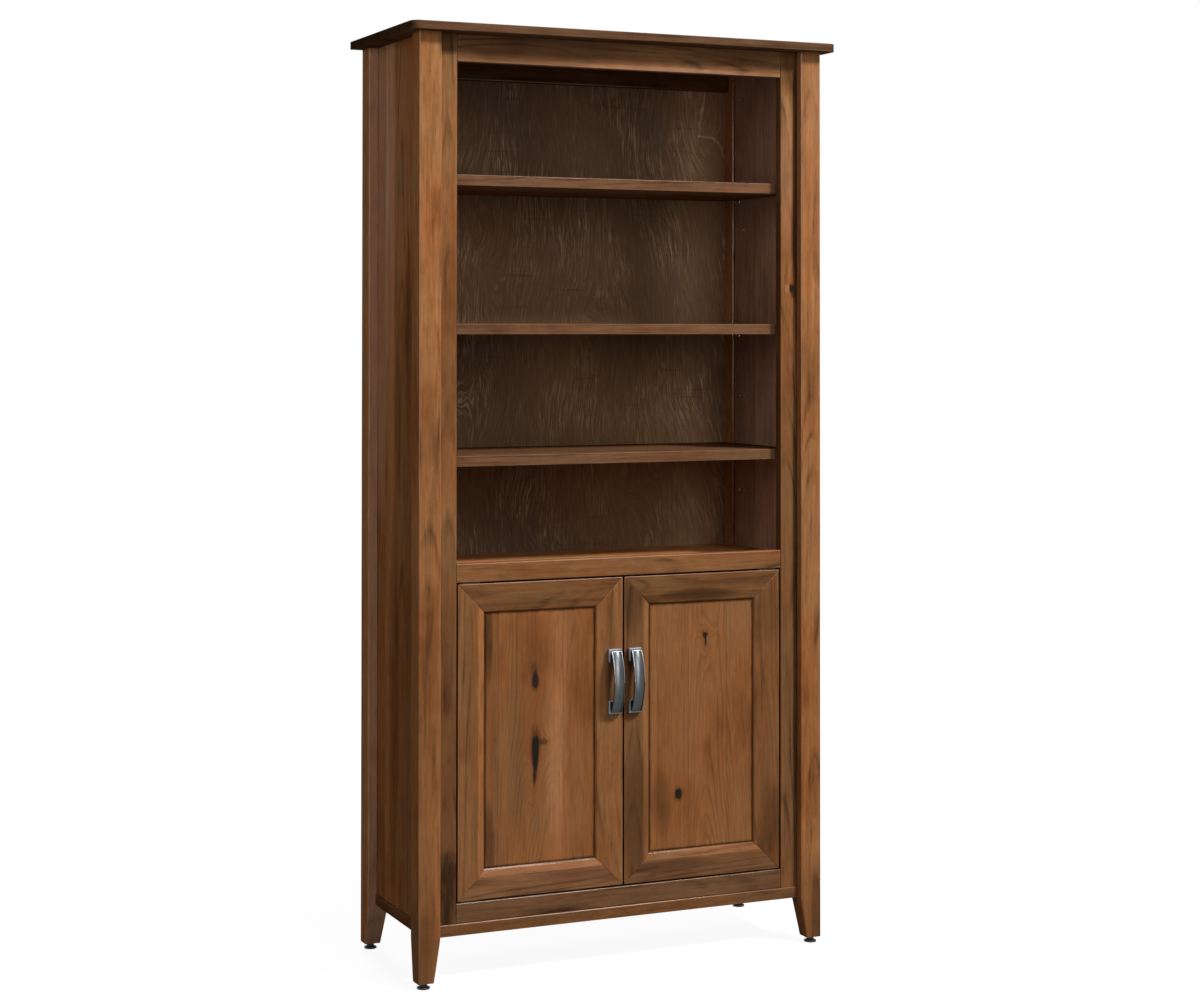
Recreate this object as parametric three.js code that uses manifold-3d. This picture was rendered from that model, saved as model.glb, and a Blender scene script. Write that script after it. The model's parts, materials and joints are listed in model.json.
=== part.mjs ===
// Bookcase with an open upper part and a two-door cabinet below, standing on four tapered posts.
// Millimetres, +Z up, front towards -Y, left and right as seen from the front.
// The origin is on the floor, in the middle of the top board's outline.
import * as THREE from "three";
import { mergeVertices } from "three/addons/utils/BufferGeometryUtils.js";
import Module from "manifold-3d";

const wasm = await Module();
wasm.setup();

// Overall size
const overallWidth = 914.4;
const overallDepth = 377.8;
const overallHeight = 1828.8;

// Gaps and cuts
const jointGap = 0.3;
const cutOverrun = 2;
const edgeEase = 1.2;

// Top board
const topThickness = 15.9;
const topSideOverhang = 23.8;
const topFrontOverhang = 26.2;
const topBackOverhang = 4.8;
const topCornerRadius = 7;

// Corner posts, tapered on their two inner faces below the skirt
const postSide = 44.45;
const footSide = 31.75;
const postEase = 1.8;

// Levelling glides, screwed up into the posts
const glideHeight = 12;
const glideRadius = 12.7;
const glideRimHeight = 3.5;
const glideEdge = 1.2;
const glideCollarRadius = 7.5;
const glideStemRadius = 4;
const glideStemLength = 26;
const glideBoreClearance = 0.5;

// Face frame between the front posts
const frameSetback = 18;
const frameThickness = 20.5;
const stileWidth = 38.1;
const topRailHeight = 53;
const middleRailTop = 798.6;
const middleRailHeight = 36.5;
const bottomRailHeight = 37.8;
const tenonLength = 14;
const tenonThickness = 8;
const tenonShoulder = 6;

// Skirt under the face frame and the side panels
const skirtBottom = 91.9;
const skirtHeight = 22.5;
const skirtThickness = 19;
const skirtProud = 3;

// Side panels, housed in the posts
const sideInset = 19.7;
const sideThickness = 19;
const housingDepth = 6;

// Back panel, in rabbets of the rear posts, and the rail across its top
const backThickness = 6.3;
const backRabbetWidth = 10;
const backRailThickness = 19;

// Decks and shelves, the shelves at shares of the open part's height
const deckThickness = 19;
const deckLip = 15.4;
const shelfThickness = 20.6;
const shelfShares = { upper: 0.7546, middle: 0.45595, lower: 0.1912 };
const shelfClearance = 1.5;
const shelfBackClearance = 2;
const cabinetShelfUnderside = 440;
const cabinetShelfSetback = 40;

// Shelf pins
const pinInset = 18.6;
const pinStemRadius = 2.5;
const pinStemLength = 9;
const pinHoleClearance = 0.4;
const pinCollarRadius = 5;
const pinCollarThickness = 1.1;
const pinLedgeRadius = 3.2;
const pinLedgeLength = 9;

// Spare pin holes, in pairs at shares of the open part's height
const spareHoleShares = [0.1086, 0.3187, 0.6891, 0.9783];
const spareHoleSpacing = 18.5;

// Doors, mitred frames round a flat panel
const doorGap = 2.5;
const doorThickness = 20;
const doorMemberWidth = 57.15;
const doorSlopeWidth = 15;
const doorSlopeDepth = 5;
const doorLipWidth = 2.5;
const doorPanelDepth = 8;
const doorPanelThickness = 7;
const doorGrooveDepth = 9.5;
const doorPanelPlay = 1;

// Knife hinges, one at the top and one at the bottom of each door
const pivotInset = 10;
const pivotDepth = 7;
const pivotPinRadius = 2.2;
const pivotClearance = 0.3;
const leafLength = 42;
const leafWidth = 10;
const leafThickness = 2;
const leafClearance = 0.5;

// Handles
const handleLength = 127;
const handleWidth = 22.2;
const handleFootHeight = 25.4;
const handleFootDepth = 15;
const handleBowDepth = 32;
const handleStrapThickness = 7.5;
const handleEdge = 1.6;
const handleInset = 20.5;
const handleBelowDoorTop = 203.6;

// Magnetic catch under the upper deck
const catchWidth = 52;
const catchHeight = 13;
const catchDepth = 16;
const catchBehindDoor = 2.2;

// Facets of round pieces
const glideFacets = 20;
const pinFacets = 10;
const pivotFacets = 16;
const cornerFacets = 5;
const bowFacets = 12;

// Places worked out from the sizes above
const carcassHalfWidth = overallWidth / 2 - topSideOverhang;
const frontY = -overallDepth / 2 + topFrontOverhang;
const backY = overallDepth / 2 - topBackOverhang;
const topBoardUnderside = overallHeight - topThickness;
const carcassTop = topBoardUnderside - jointGap;
const postInnerX = carcassHalfWidth - postSide;
const frontPostBackY = frontY + postSide;
const rearPostFrontY = backY - postSide;
const skirtTop = skirtBottom + skirtHeight;
const frameFrontY = frontY + frameSetback;
const frameBackY = frameFrontY + frameThickness;
const frameHalfWidth = postInnerX - jointGap;
const openingHalfWidth = frameHalfWidth - stileWidth;
const frameBottom = skirtTop + jointGap;
const topRailBottom = topBoardUnderside - topRailHeight;
const middleRailBottom = middleRailTop - middleRailHeight;
const bottomRailTop = skirtTop + bottomRailHeight;
const sideOuterX = carcassHalfWidth - sideInset;
const sideInnerX = sideOuterX - sideThickness;
const backPanelFrontY = backY - backThickness;
const upperDeckTop = middleRailTop - deckLip;
const heightInOpenPart = (share) => middleRailTop + share * (topRailBottom - middleRailTop);
const shelves = Object.entries(shelfShares).map(([name, share]) => ({
  name,
  underside: heightInOpenPart(share),
}));
const doorWidth = (2 * openingHalfWidth - 3 * doorGap) / 2;
const doorHeight = middleRailBottom - bottomRailTop - 2 * doorGap;
const doorBottom = bottomRailTop + doorGap;
const doorTop = middleRailBottom - doorGap;
const doorCentreX = (doorGap + doorWidth) / 2;
const pivotX = openingHalfWidth - doorGap - pivotInset;
const pivotY = frameFrontY + pivotDepth;
const leafProud = (doorGap - leafClearance) / 2;
const glideInset = footSide / 2;

// Materials
const surface = (settings) => () => new THREE.MeshStandardMaterial(settings);
const woodMaterial = surface({ color: 0x6b3a1c, roughness: 0.45, metalness: 0 });
const panelMaterial = surface({ color: 0x74401f, roughness: 0.45, metalness: 0 });
const plywoodMaterial = surface({ color: 0x4a3120, roughness: 0.5, metalness: 0 });
const pewterMaterial = surface({ color: 0x70757a, roughness: 0.35, metalness: 1 });
const steelMaterial = surface({ color: 0xb4b6b8, roughness: 0.35, metalness: 1 });
const blackMaterial = surface({ color: 0x151617, roughness: 0.6, metalness: 0 });

const bookcase = new THREE.Group();

// Solid modelling

function toSolid(geometry) {
  const bare = geometry.clone();
  bare.deleteAttribute("normal");
  bare.deleteAttribute("uv");
  const merged = mergeVertices(bare);
  return new wasm.Manifold(new wasm.Mesh({
    numProp: 3,
    vertProperties: new Float32Array(merged.attributes.position.array),
    triVerts: new Uint32Array(merged.index.array),
  }));
}

function fromSolid(solid) {
  const mesh = solid.getMesh();
  const geometry = new THREE.BufferGeometry();
  const corners = new Float32Array(mesh.vertProperties);
  geometry.setAttribute("position", new THREE.BufferAttribute(corners, mesh.numProp));
  geometry.setIndex(new THREE.BufferAttribute(new Uint32Array(mesh.triVerts), 1));
  geometry.computeVertexNormals();
  return geometry;
}

function cut(geometry, cutters) {
  return fromSolid(cutters.reduce((solid, cutter) => solid.subtract(toSolid(cutter)), toSolid(geometry)));
}

function join(geometry, additions) {
  return fromSolid(additions.reduce((solid, addition) => solid.add(toSolid(addition)), toSolid(geometry)));
}

function block([x0, x1], [y0, y1], [z0, z1]) {
  const geometry = new THREE.BoxGeometry(x1 - x0, y1 - y0, z1 - z0);
  return geometry.translate((x0 + x1) / 2, (y0 + y1) / 2, (z0 + z1) / 2);
}

// For a board that runs along an axis: the two axes of its section, and where the section's own axes go
const alongX = new THREE.Vector3(1, 0, 0);
const alongY = new THREE.Vector3(0, 1, 0);
const alongZ = new THREE.Vector3(0, 0, 1);
const runs = {
  x: { across: "y", up: "z", basis: [alongY, alongZ, alongX] },
  y: { across: "z", up: "x", basis: [alongZ, alongX, alongY] },
  z: { across: "x", up: "y", basis: [alongX, alongY, alongZ] },
};

function easedRectangle([u0, u1], [v0, v1], ease) {
  return new THREE.Shape([
    new THREE.Vector2(u0 + ease, v0),
    new THREE.Vector2(u1 - ease, v0),
    new THREE.Vector2(u1, v0 + ease),
    new THREE.Vector2(u1, v1 - ease),
    new THREE.Vector2(u1 - ease, v1),
    new THREE.Vector2(u0 + ease, v1),
    new THREE.Vector2(u0, v1 - ease),
    new THREE.Vector2(u0, v0 + ease),
  ]);
}

// A board with its four long edges eased, running along the named axis
function board(spanX, spanY, spanZ, along) {
  const spans = { x: spanX, y: spanY, z: spanZ };
  const { across, up, basis } = runs[along];
  const [start, end] = spans[along];
  const section = easedRectangle(spans[across], spans[up], edgeEase);
  const geometry = new THREE.ExtrudeGeometry(section, { depth: end - start, bevelEnabled: false });
  geometry.translate(0, 0, start);
  return geometry.applyMatrix4(new THREE.Matrix4().makeBasis(...basis));
}

// A flat piece cut to an outline in plan
function sheet(points, [z0, z1]) {
  const outline = new THREE.Shape(points.map(([x, y]) => new THREE.Vector2(x, y)));
  return new THREE.ExtrudeGeometry(outline, { depth: z1 - z0, bevelEnabled: false }).translate(0, 0, z0);
}

// Adds a piece to a group, with the piece's own origin in the middle of its box
function place(group, name, geometry, material) {
  geometry.computeBoundingBox();
  const middle = geometry.boundingBox.getCenter(new THREE.Vector3());
  geometry.translate(-middle.x, -middle.y, -middle.z);
  const mesh = new THREE.Mesh(geometry, material);
  mesh.name = name;
  mesh.position.copy(middle);
  group.add(mesh);
  return mesh;
}

const sides = [["left", -1], ["right", 1]];
const ends = [["front", -1], ["rear", 1]];
const span = (side, near, far) => (side < 0 ? [-far, -near] : [near, far]);

// Top board

function addTopBoard() {
  const halfWidth = overallWidth / 2;
  const halfDepth = overallDepth / 2;
  const cornerX = halfWidth - topCornerRadius;
  const cornerY = -halfDepth + topCornerRadius;
  const outline = new THREE.Shape();
  outline.moveTo(halfWidth, halfDepth);
  outline.lineTo(-halfWidth, halfDepth);
  outline.lineTo(-halfWidth, cornerY);
  outline.absarc(-cornerX, cornerY, topCornerRadius, Math.PI, 1.5 * Math.PI, false);
  outline.absarc(cornerX, cornerY, topCornerRadius, 1.5 * Math.PI, 2 * Math.PI, false);
  const geometry = new THREE.ExtrudeGeometry(outline, {
    depth: topThickness - 2 * edgeEase,
    curveSegments: cornerFacets,
    bevelSize: edgeEase,
    bevelThickness: edgeEase,
    bevelOffset: -edgeEase,
    bevelSegments: 1,
  });
  geometry.translate(0, 0, topBoardUnderside + edgeEase);
  place(bookcase, "top_board", geometry, woodMaterial());
}

// Corner posts

function tapered(section, corner) {
  const geometry = new THREE.ExtrudeGeometry(section, { steps: 2, depth: 2, bevelEnabled: false });
  const heights = [glideHeight, skirtBottom, carcassTop];
  const points = geometry.attributes.position;
  for (let i = 0; i < points.count; i += 1) {
    const level = Math.round(points.getZ(i));
    const share = level === 0 ? footSide / postSide : 1;
    points.setX(i, corner.x + (points.getX(i) - corner.x) * share);
    points.setY(i, corner.y + (points.getY(i) - corner.y) * share);
    points.setZ(i, heights[level]);
  }
  return geometry;
}

function addPost(end, side) {
  const [endName, endSign] = end;
  const [sideName, sideSign] = side;
  const outerY = endSign < 0 ? frontY : backY;
  const spanX = span(sideSign, postInnerX, carcassHalfWidth);
  const spanY = endSign < 0 ? [frontY, frontPostBackY] : [rearPostFrontY, backY];
  const corner = new THREE.Vector2(sideSign * carcassHalfWidth, outerY);
  const post = tapered(easedRectangle(spanX, spanY, postEase), corner);

  const housingY = endSign < 0
    ? [frontPostBackY - housingDepth, frontPostBackY + cutOverrun]
    : [rearPostFrontY - cutOverrun, rearPostFrontY + housingDepth];
  const housing = block(
    span(sideSign, sideInnerX - jointGap, sideOuterX + jointGap),
    housingY,
    [skirtTop, carcassTop + cutOverrun],
  );
  const boreTop = glideHeight + glideStemLength + jointGap;
  const bore = new THREE.CylinderGeometry(
    glideStemRadius + glideBoreClearance,
    glideStemRadius + glideBoreClearance,
    boreTop - glideHeight + cutOverrun,
    glideFacets,
  );
  bore.rotateX(Math.PI / 2);
  bore.translate(
    sideSign * (carcassHalfWidth - glideInset),
    outerY - endSign * glideInset,
    (boreTop + glideHeight - cutOverrun) / 2,
  );
  const cutters = [housing, bore];
  if (endSign > 0) {
    cutters.push(block(
      span(sideSign, postInnerX - cutOverrun, postInnerX + backRabbetWidth),
      [backPanelFrontY - jointGap, backY + cutOverrun],
      [skirtTop, carcassTop + cutOverrun],
    ));
  }
  place(bookcase, `${endName}_${sideName}_post`, cut(post, cutters), woodMaterial());
}

// Levelling glides

function addGlide(end, side) {
  const [endName, endSign] = end;
  const [sideName, sideSign] = side;
  const collarTop = glideHeight - jointGap;
  const profile = [
    [0, 0],
    [glideRadius - glideEdge, 0],
    [glideRadius, glideEdge],
    [glideRadius, glideRimHeight],
    [glideCollarRadius, collarTop - glideEdge],
    [glideCollarRadius, collarTop],
    [glideStemRadius, collarTop],
    [glideStemRadius, glideHeight + glideStemLength],
    [0, glideHeight + glideStemLength],
  ];
  const points = profile.map(([radius, height]) => new THREE.Vector2(radius, height));
  const geometry = new THREE.LatheGeometry(points, glideFacets).rotateX(Math.PI / 2);
  const outerY = endSign < 0 ? frontY : backY;
  geometry.translate(sideSign * (carcassHalfWidth - glideInset), outerY - endSign * glideInset, 0);
  place(bookcase, `${endName}_${sideName}_glide`, geometry, blackMaterial());
}

// Face frame: two stiles, with three rails tenoned into them

const rails = [
  { name: "top_rail", bottom: topRailBottom, top: carcassTop },
  { name: "middle_rail", bottom: middleRailBottom, top: middleRailTop },
  { name: "bottom_rail", bottom: frameBottom, top: bottomRailTop },
];

function tenonSpans(rail) {
  const middleY = (frameFrontY + frameBackY) / 2;
  return {
    spanY: [middleY - tenonThickness / 2, middleY + tenonThickness / 2],
    spanZ: [rail.bottom + tenonShoulder, rail.top - tenonShoulder],
  };
}

const wider = ([low, high], margin) => [low - margin, high + margin];

function addStile([sideName, sideSign]) {
  const stile = board(
    span(sideSign, openingHalfWidth, frameHalfWidth),
    [frameFrontY, frameBackY],
    [frameBottom, carcassTop],
    "z",
  );
  const mortises = rails.map((rail) => {
    const { spanY, spanZ } = tenonSpans(rail);
    const depth = openingHalfWidth + tenonLength + jointGap;
    const spanX = span(sideSign, openingHalfWidth - cutOverrun, depth);
    return block(spanX, wider(spanY, jointGap), wider(spanZ, jointGap));
  });
  place(bookcase, `${sideName}_stile`, cut(stile, mortises), woodMaterial());
}

function addRail(rail) {
  const body = openingHalfWidth - jointGap;
  const reach = openingHalfWidth + tenonLength;
  const { spanY, spanZ } = tenonSpans(rail);
  const blank = board([-body, body], [frameFrontY, frameBackY], [rail.bottom, rail.top], "x");
  const railed = join(blank, [block([-reach, reach], spanY, spanZ)]);
  const pockets = sides.flatMap(([, sideSign]) => leafPockets(rail, sideSign));
  const geometry = pockets.length > 0 ? cut(railed, pockets) : railed;
  place(bookcase, rail.name, geometry, woodMaterial());
}

// Skirt

function addSkirts() {
  const spanZ = [skirtBottom, skirtTop];
  const spanX = [-frameHalfWidth, frameHalfWidth];
  const frontFace = frameFrontY - skirtProud;
  const front = board(spanX, [frontFace, frontFace + skirtThickness], spanZ, "x");
  place(bookcase, "front_skirt", front, woodMaterial());
  const between = [frontPostBackY + jointGap, rearPostFrontY - jointGap];
  for (const [sideName, sideSign] of sides) {
    const outerFace = sideOuterX + skirtProud;
    const skirt = board(span(sideSign, outerFace - skirtThickness, outerFace), between, spanZ, "y");
    place(bookcase, `${sideName}_skirt`, skirt, woodMaterial());
  }
}

// Decks, the fixed cabinet shelf and the adjustable shelves

const decks = [
  { name: "upper_deck", underside: upperDeckTop - deckThickness, setback: jointGap },
  { name: "lower_deck", underside: bottomRailTop - deckThickness, setback: jointGap },
  { name: "cabinet_shelf", underside: cabinetShelfUnderside, setback: cabinetShelfSetback },
];

// The outline of a board that fills the carcass, notched round whichever posts it reaches
function notchedOutline(halfWidth, [front, back], clearance) {
  const notchX = postInnerX - clearance;
  const notchFront = frontPostBackY + clearance;
  const notchBack = rearPostFrontY - clearance;
  const rightFront = front < notchFront
    ? [[notchX, front], [notchX, notchFront], [halfWidth, notchFront]]
    : [[halfWidth, front]];
  const right = [...rightFront, [halfWidth, notchBack], [notchX, notchBack], [notchX, back]];
  return [...right, ...right.map(([x, y]) => [-x, y]).reverse()];
}

function addDeck(deck) {
  const reach = sideInnerX + housingDepth - jointGap;
  const spanY = [frameBackY + deck.setback, backPanelFrontY - jointGap];
  const outline = notchedOutline(reach, spanY, jointGap);
  const geometry = sheet(outline, [deck.underside, deck.underside + deckThickness]);
  place(bookcase, deck.name, geometry, woodMaterial());
}

function addShelf({ name, underside }) {
  const spanY = [frameBackY + shelfClearance, backPanelFrontY - shelfBackClearance];
  const outline = notchedOutline(sideInnerX - shelfClearance, spanY, shelfClearance);
  place(bookcase, `${name}_shelf`, sheet(outline, [underside, underside + shelfThickness]), woodMaterial());
}

// Shelf pins, two in each side panel for each shelf

const pinRows = [["front", frontPostBackY + pinInset, 1], ["rear", rearPostFrontY - pinInset, -1]];
const pinAxisHeight = (underside) => underside - jointGap - pinLedgeRadius;

function roundBar(radius, [near, far], facets, sideSign, y, z) {
  const bar = new THREE.CylinderGeometry(radius, radius, far - near, facets).rotateZ(Math.PI / 2);
  return bar.translate(sideSign * (near + far) / 2, y, z);
}

function addPin({ name: shelfName, underside }, side, row) {
  const [sideName, sideSign] = side;
  const [rowName, y] = row;
  const z = pinAxisHeight(underside);
  const collarBack = sideInnerX - jointGap;
  const collarFront = collarBack - pinCollarThickness;
  const bar = (radius, lengths) => roundBar(radius, lengths, pinFacets, sideSign, y, z);
  const trim = block(
    wider(span(sideSign, collarFront, collarBack), cutOverrun),
    wider([y, y], pinCollarRadius + cutOverrun),
    [z + pinLedgeRadius, z + pinCollarRadius + cutOverrun],
  );
  const collar = cut(bar(pinCollarRadius, [collarFront, collarBack]), [trim]);
  const geometry = join(collar, [
    bar(pinLedgeRadius, [collarFront - pinLedgeLength, collarBack]),
    bar(pinStemRadius, [collarFront, sideInnerX + pinStemLength]),
  ]);
  place(bookcase, `${shelfName}_${rowName}_${sideName}_pin`, geometry, steelMaterial());
}

// Side panels, housed in the posts, with housings for the decks and holes for the pins

function addSidePanel([sideName, sideSign]) {
  const spanX = span(sideSign, sideInnerX, sideOuterX);
  const reach = housingDepth - jointGap;
  const spanY = [frontPostBackY - reach, rearPostFrontY + reach];
  const panel = board(spanX, spanY, [skirtTop + jointGap, carcassTop], "z");
  const housings = decks.map((deck) => block(
    span(sideSign, sideInnerX - cutOverrun, sideInnerX + housingDepth),
    wider(spanY, cutOverrun),
    wider([deck.underside, deck.underside + deckThickness], jointGap),
  ));
  const hole = (y, z) => roundBar(
    pinStemRadius + pinHoleClearance,
    [sideInnerX - cutOverrun, sideInnerX + pinStemLength + jointGap],
    pinFacets,
    sideSign,
    y,
    z,
  );
  const pinHeights = shelves.map(({ underside }) => pinAxisHeight(underside));
  const pinHoles = pinHeights.flatMap((z) => pinRows.map(([, y]) => hole(y, z)));
  const spareRows = pinRows.flatMap(([, y, inward]) => [y, y + inward * spareHoleSpacing]);
  const spareHeights = spareHoleShares.map(heightInOpenPart);
  const spareHoles = spareHeights.flatMap((z) => spareRows.map((y) => hole(y, z)));
  place(
    bookcase,
    `${sideName}_side_panel`,
    cut(panel, [...housings, ...pinHoles, ...spareHoles]),
    panelMaterial(),
  );
}

// Back panel and the rail across its top

function addBack() {
  const reach = postInnerX + backRabbetWidth - jointGap;
  const panel = block([-reach, reach], [backPanelFrontY, backY], [skirtTop + jointGap, carcassTop]);
  place(bookcase, "back_panel", panel, plywoodMaterial());
  const railBack = backPanelFrontY - jointGap;
  const spanX = [-frameHalfWidth, frameHalfWidth];
  const rail = board(spanX, [railBack - backRailThickness, railBack], [topRailBottom, carcassTop], "x");
  place(bookcase, "back_top_rail", rail, woodMaterial());
}

// Knife hinges: one leaf let into the frame and one let into the door at each pivot

const hinges = [
  { name: "upper", rail: "middle_rail", frameEdge: middleRailBottom, doorEdge: doorTop, outward: 1 },
  { name: "lower", rail: "bottom_rail", frameEdge: bottomRailTop, doorEdge: doorBottom, outward: -1 },
];

// The outline of a leaf in plan, round at the pivot, running from there towards the middle of the opening
function leafOutline(sideSign, margin) {
  const radius = leafWidth / 2 + margin;
  const far = pivotX - (leafLength - leafWidth / 2) - margin;
  const outline = new THREE.Shape();
  const turn = sideSign > 0 ? -Math.PI / 2 : Math.PI / 2;
  outline.absarc(sideSign * pivotX, pivotY, radius, turn, turn + Math.PI, false);
  outline.lineTo(sideSign * far, pivotY + sideSign * radius);
  outline.lineTo(sideSign * far, pivotY - sideSign * radius);
  return outline;
}

function leafSolid(outline, [z0, z1]) {
  const settings = { depth: z1 - z0, curveSegments: pivotFacets / 2, bevelEnabled: false };
  return new THREE.ExtrudeGeometry(outline, settings).translate(0, 0, z0);
}

function ordered(a, b) {
  return a < b ? [a, b] : [b, a];
}

function leafPockets(rail, sideSign) {
  return hinges.filter((hinge) => hinge.rail === rail.name).map((hinge) => {
    const floor = hinge.frameEdge + hinge.outward * (leafThickness - leafProud + jointGap);
    const mouth = hinge.frameEdge - hinge.outward * cutOverrun;
    return leafSolid(leafOutline(sideSign, jointGap), ordered(floor, mouth));
  });
}

function addFrameLeaf(hinge, [sideName, sideSign]) {
  const outer = hinge.frameEdge + hinge.outward * (leafThickness - leafProud);
  const inner = outer - hinge.outward * leafThickness;
  const tip = inner - hinge.outward * (leafClearance + leafThickness);
  const plate = leafSolid(leafOutline(sideSign, 0), ordered(outer, inner));
  const length = Math.abs(tip - outer);
  const pin = new THREE.CylinderGeometry(pivotPinRadius, pivotPinRadius, length, pivotFacets);
  pin.rotateX(Math.PI / 2).translate(sideSign * pivotX, pivotY, (tip + outer) / 2);
  place(bookcase, `${sideName}_${hinge.name}_frame_leaf`, join(plate, [pin]), steelMaterial());
}

// Doors, each in a group whose origin is on the door's hinge axis

const doorGroups = Object.fromEntries(sides.map(([sideName, sideSign]) => {
  const group = new THREE.Group();
  group.position.set(sideSign * pivotX, pivotY, 0);
  bookcase.add(group);
  return [sideName, group];
}));

// Places a geometry given in the model's own coordinates into a door's group
function placeOnDoor(sideName, name, geometry, material) {
  const { x, y } = doorGroups[sideName].position;
  return place(doorGroups[sideName], `${sideName}_door_${name}`, geometry.translate(-x, -y, 0), material);
}

// Across a frame member from the door's outer edge: its face, its slope and lip, its groove and its back
function memberSection() {
  const grooveFloor = doorMemberWidth - doorGrooveDepth;
  const grooveBack = doorPanelDepth + doorPanelThickness + 2 * jointGap;
  const slopeStart = doorMemberWidth - doorLipWidth - doorSlopeWidth;
  return [
    [edgeEase, 0],
    [slopeStart, 0],
    [doorMemberWidth - doorLipWidth, doorSlopeDepth],
    [doorMemberWidth, doorPanelDepth],
    [grooveFloor, doorPanelDepth],
    [grooveFloor, grooveBack],
    [doorMemberWidth, grooveBack],
    [doorMemberWidth, doorThickness],
    [0, doorThickness],
    [0, edgeEase],
  ];
}

// A member with both ends mitred, standing on end with its outer edge at -halfAcross
function mitredMember(halfAcross, length) {
  const corners = memberSection().map(([across, depth]) => new THREE.Vector2(across, depth));
  const outline = new THREE.Shape(corners);
  const geometry = new THREE.ExtrudeGeometry(outline, { steps: 1, depth: 1, bevelEnabled: false });
  const points = geometry.attributes.position;
  const mitreGap = jointGap / Math.SQRT2;
  for (let i = 0; i < points.count; i += 1) {
    const across = points.getX(i);
    const reach = length / 2 - across - mitreGap;
    points.setX(i, across - halfAcross);
    points.setZ(i, points.getZ(i) > 0 ? reach : -reach);
  }
  return geometry;
}

function doorLeafPocket(hinge, sideSign) {
  const floor = hinge.doorEdge - hinge.outward * (leafThickness - leafProud + jointGap);
  const mouth = hinge.doorEdge + hinge.outward * cutOverrun;
  return leafSolid(leafOutline(sideSign, jointGap), ordered(floor, mouth));
}

function addDoor([sideName, sideSign]) {
  const centreX = sideSign * doorCentreX;
  const centreZ = (doorBottom + doorTop) / 2;
  const members = [
    { name: "left_stile", turn: 0, halfAcross: doorWidth / 2, length: doorHeight },
    { name: "right_stile", turn: Math.PI, halfAcross: doorWidth / 2, length: doorHeight },
    { name: "top_rail", turn: Math.PI / 2, halfAcross: doorHeight / 2, length: doorWidth },
    { name: "bottom_rail", turn: -Math.PI / 2, halfAcross: doorHeight / 2, length: doorWidth },
  ];
  for (const member of members) {
    const bar = mitredMember(member.halfAcross, member.length).rotateY(member.turn);
    bar.translate(centreX, frameFrontY, centreZ);
    const hinge = { top_rail: hinges[0], bottom_rail: hinges[1] }[member.name];
    const geometry = hinge ? cut(bar, [doorLeafPocket(hinge, sideSign)]) : bar;
    placeOnDoor(sideName, member.name, geometry, woodMaterial());
  }

  const intoGroove = doorGrooveDepth - doorPanelPlay;
  const halfPanelX = doorWidth / 2 - doorMemberWidth + intoGroove;
  const halfPanelZ = doorHeight / 2 - doorMemberWidth + intoGroove;
  const panelFrontY = frameFrontY + doorPanelDepth + jointGap;
  const panel = block(
    [centreX - halfPanelX, centreX + halfPanelX],
    [panelFrontY, panelFrontY + doorPanelThickness],
    [centreZ - halfPanelZ, centreZ + halfPanelZ],
  );
  placeOnDoor(sideName, "panel", panel, panelMaterial());

  for (const hinge of hinges) {
    const outer = hinge.doorEdge + hinge.outward * leafProud;
    const outline = leafOutline(sideSign, 0);
    const hole = new THREE.Path();
    hole.absarc(sideSign * pivotX, pivotY, pivotPinRadius + pivotClearance, 0, 2 * Math.PI, true);
    outline.holes.push(hole);
    const leaf = leafSolid(outline, ordered(outer, outer - hinge.outward * leafThickness));
    placeOnDoor(sideName, `${hinge.name}_leaf`, leaf, steelMaterial());
  }
  addHandle(sideName, sideSign);
}

// Handles: a bowed strap between two square feet

function handleOutline() {
  const half = handleLength / 2;
  const footInner = half - handleFootHeight;
  const bow = (depthAtEnd, depthAtMiddle, halfSpan) => {
    const rise = depthAtMiddle - depthAtEnd;
    const radius = (halfSpan ** 2 + rise ** 2) / (2 * rise);
    const sweep = Math.asin(halfSpan / radius);
    return Array.from({ length: bowFacets + 1 }, (_, i) => {
      const angle = sweep * (1 - (2 * i) / bowFacets);
      return [radius * Math.sin(angle), depthAtMiddle - radius * (1 - Math.cos(angle))];
    });
  };
  const outer = bow(handleFootDepth, handleBowDepth, half);
  const innerEnd = handleFootDepth - handleEdge;
  const inner = bow(innerEnd, handleBowDepth - handleStrapThickness, footInner).reverse();
  return [[-half, 0], [-footInner, 0], ...inner, [footInner, 0], [half, 0], ...outer];
}

function addHandle(sideName, sideSign) {
  const outline = new THREE.Shape(handleOutline().map(([along, out]) => new THREE.Vector2(along, out)));
  const geometry = new THREE.ExtrudeGeometry(outline, {
    depth: handleWidth - 2 * handleEdge,
    bevelSize: handleEdge,
    bevelThickness: handleEdge,
    bevelOffset: -handleEdge,
    bevelSegments: 1,
  });
  geometry.translate(0, 0, handleEdge - handleWidth / 2);
  const towardsFront = new THREE.Vector3(0, -1, 0);
  geometry.applyMatrix4(new THREE.Matrix4().makeBasis(alongZ, towardsFront, alongX));
  const x = sideSign * (doorGap / 2 + handleInset);
  geometry.translate(x, frameFrontY - jointGap, doorTop - handleBelowDoorTop);
  placeOnDoor(sideName, "handle", geometry, pewterMaterial());
}

// Magnetic catch

function addCatch() {
  const top = upperDeckTop - deckThickness - jointGap;
  const front = frameFrontY + doorThickness + catchBehindDoor;
  const body = board(
    [-catchWidth / 2, catchWidth / 2],
    [front, front + catchDepth],
    [top - catchHeight, top],
    "x",
  );
  place(bookcase, "magnetic_catch", body, blackMaterial());
}

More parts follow.
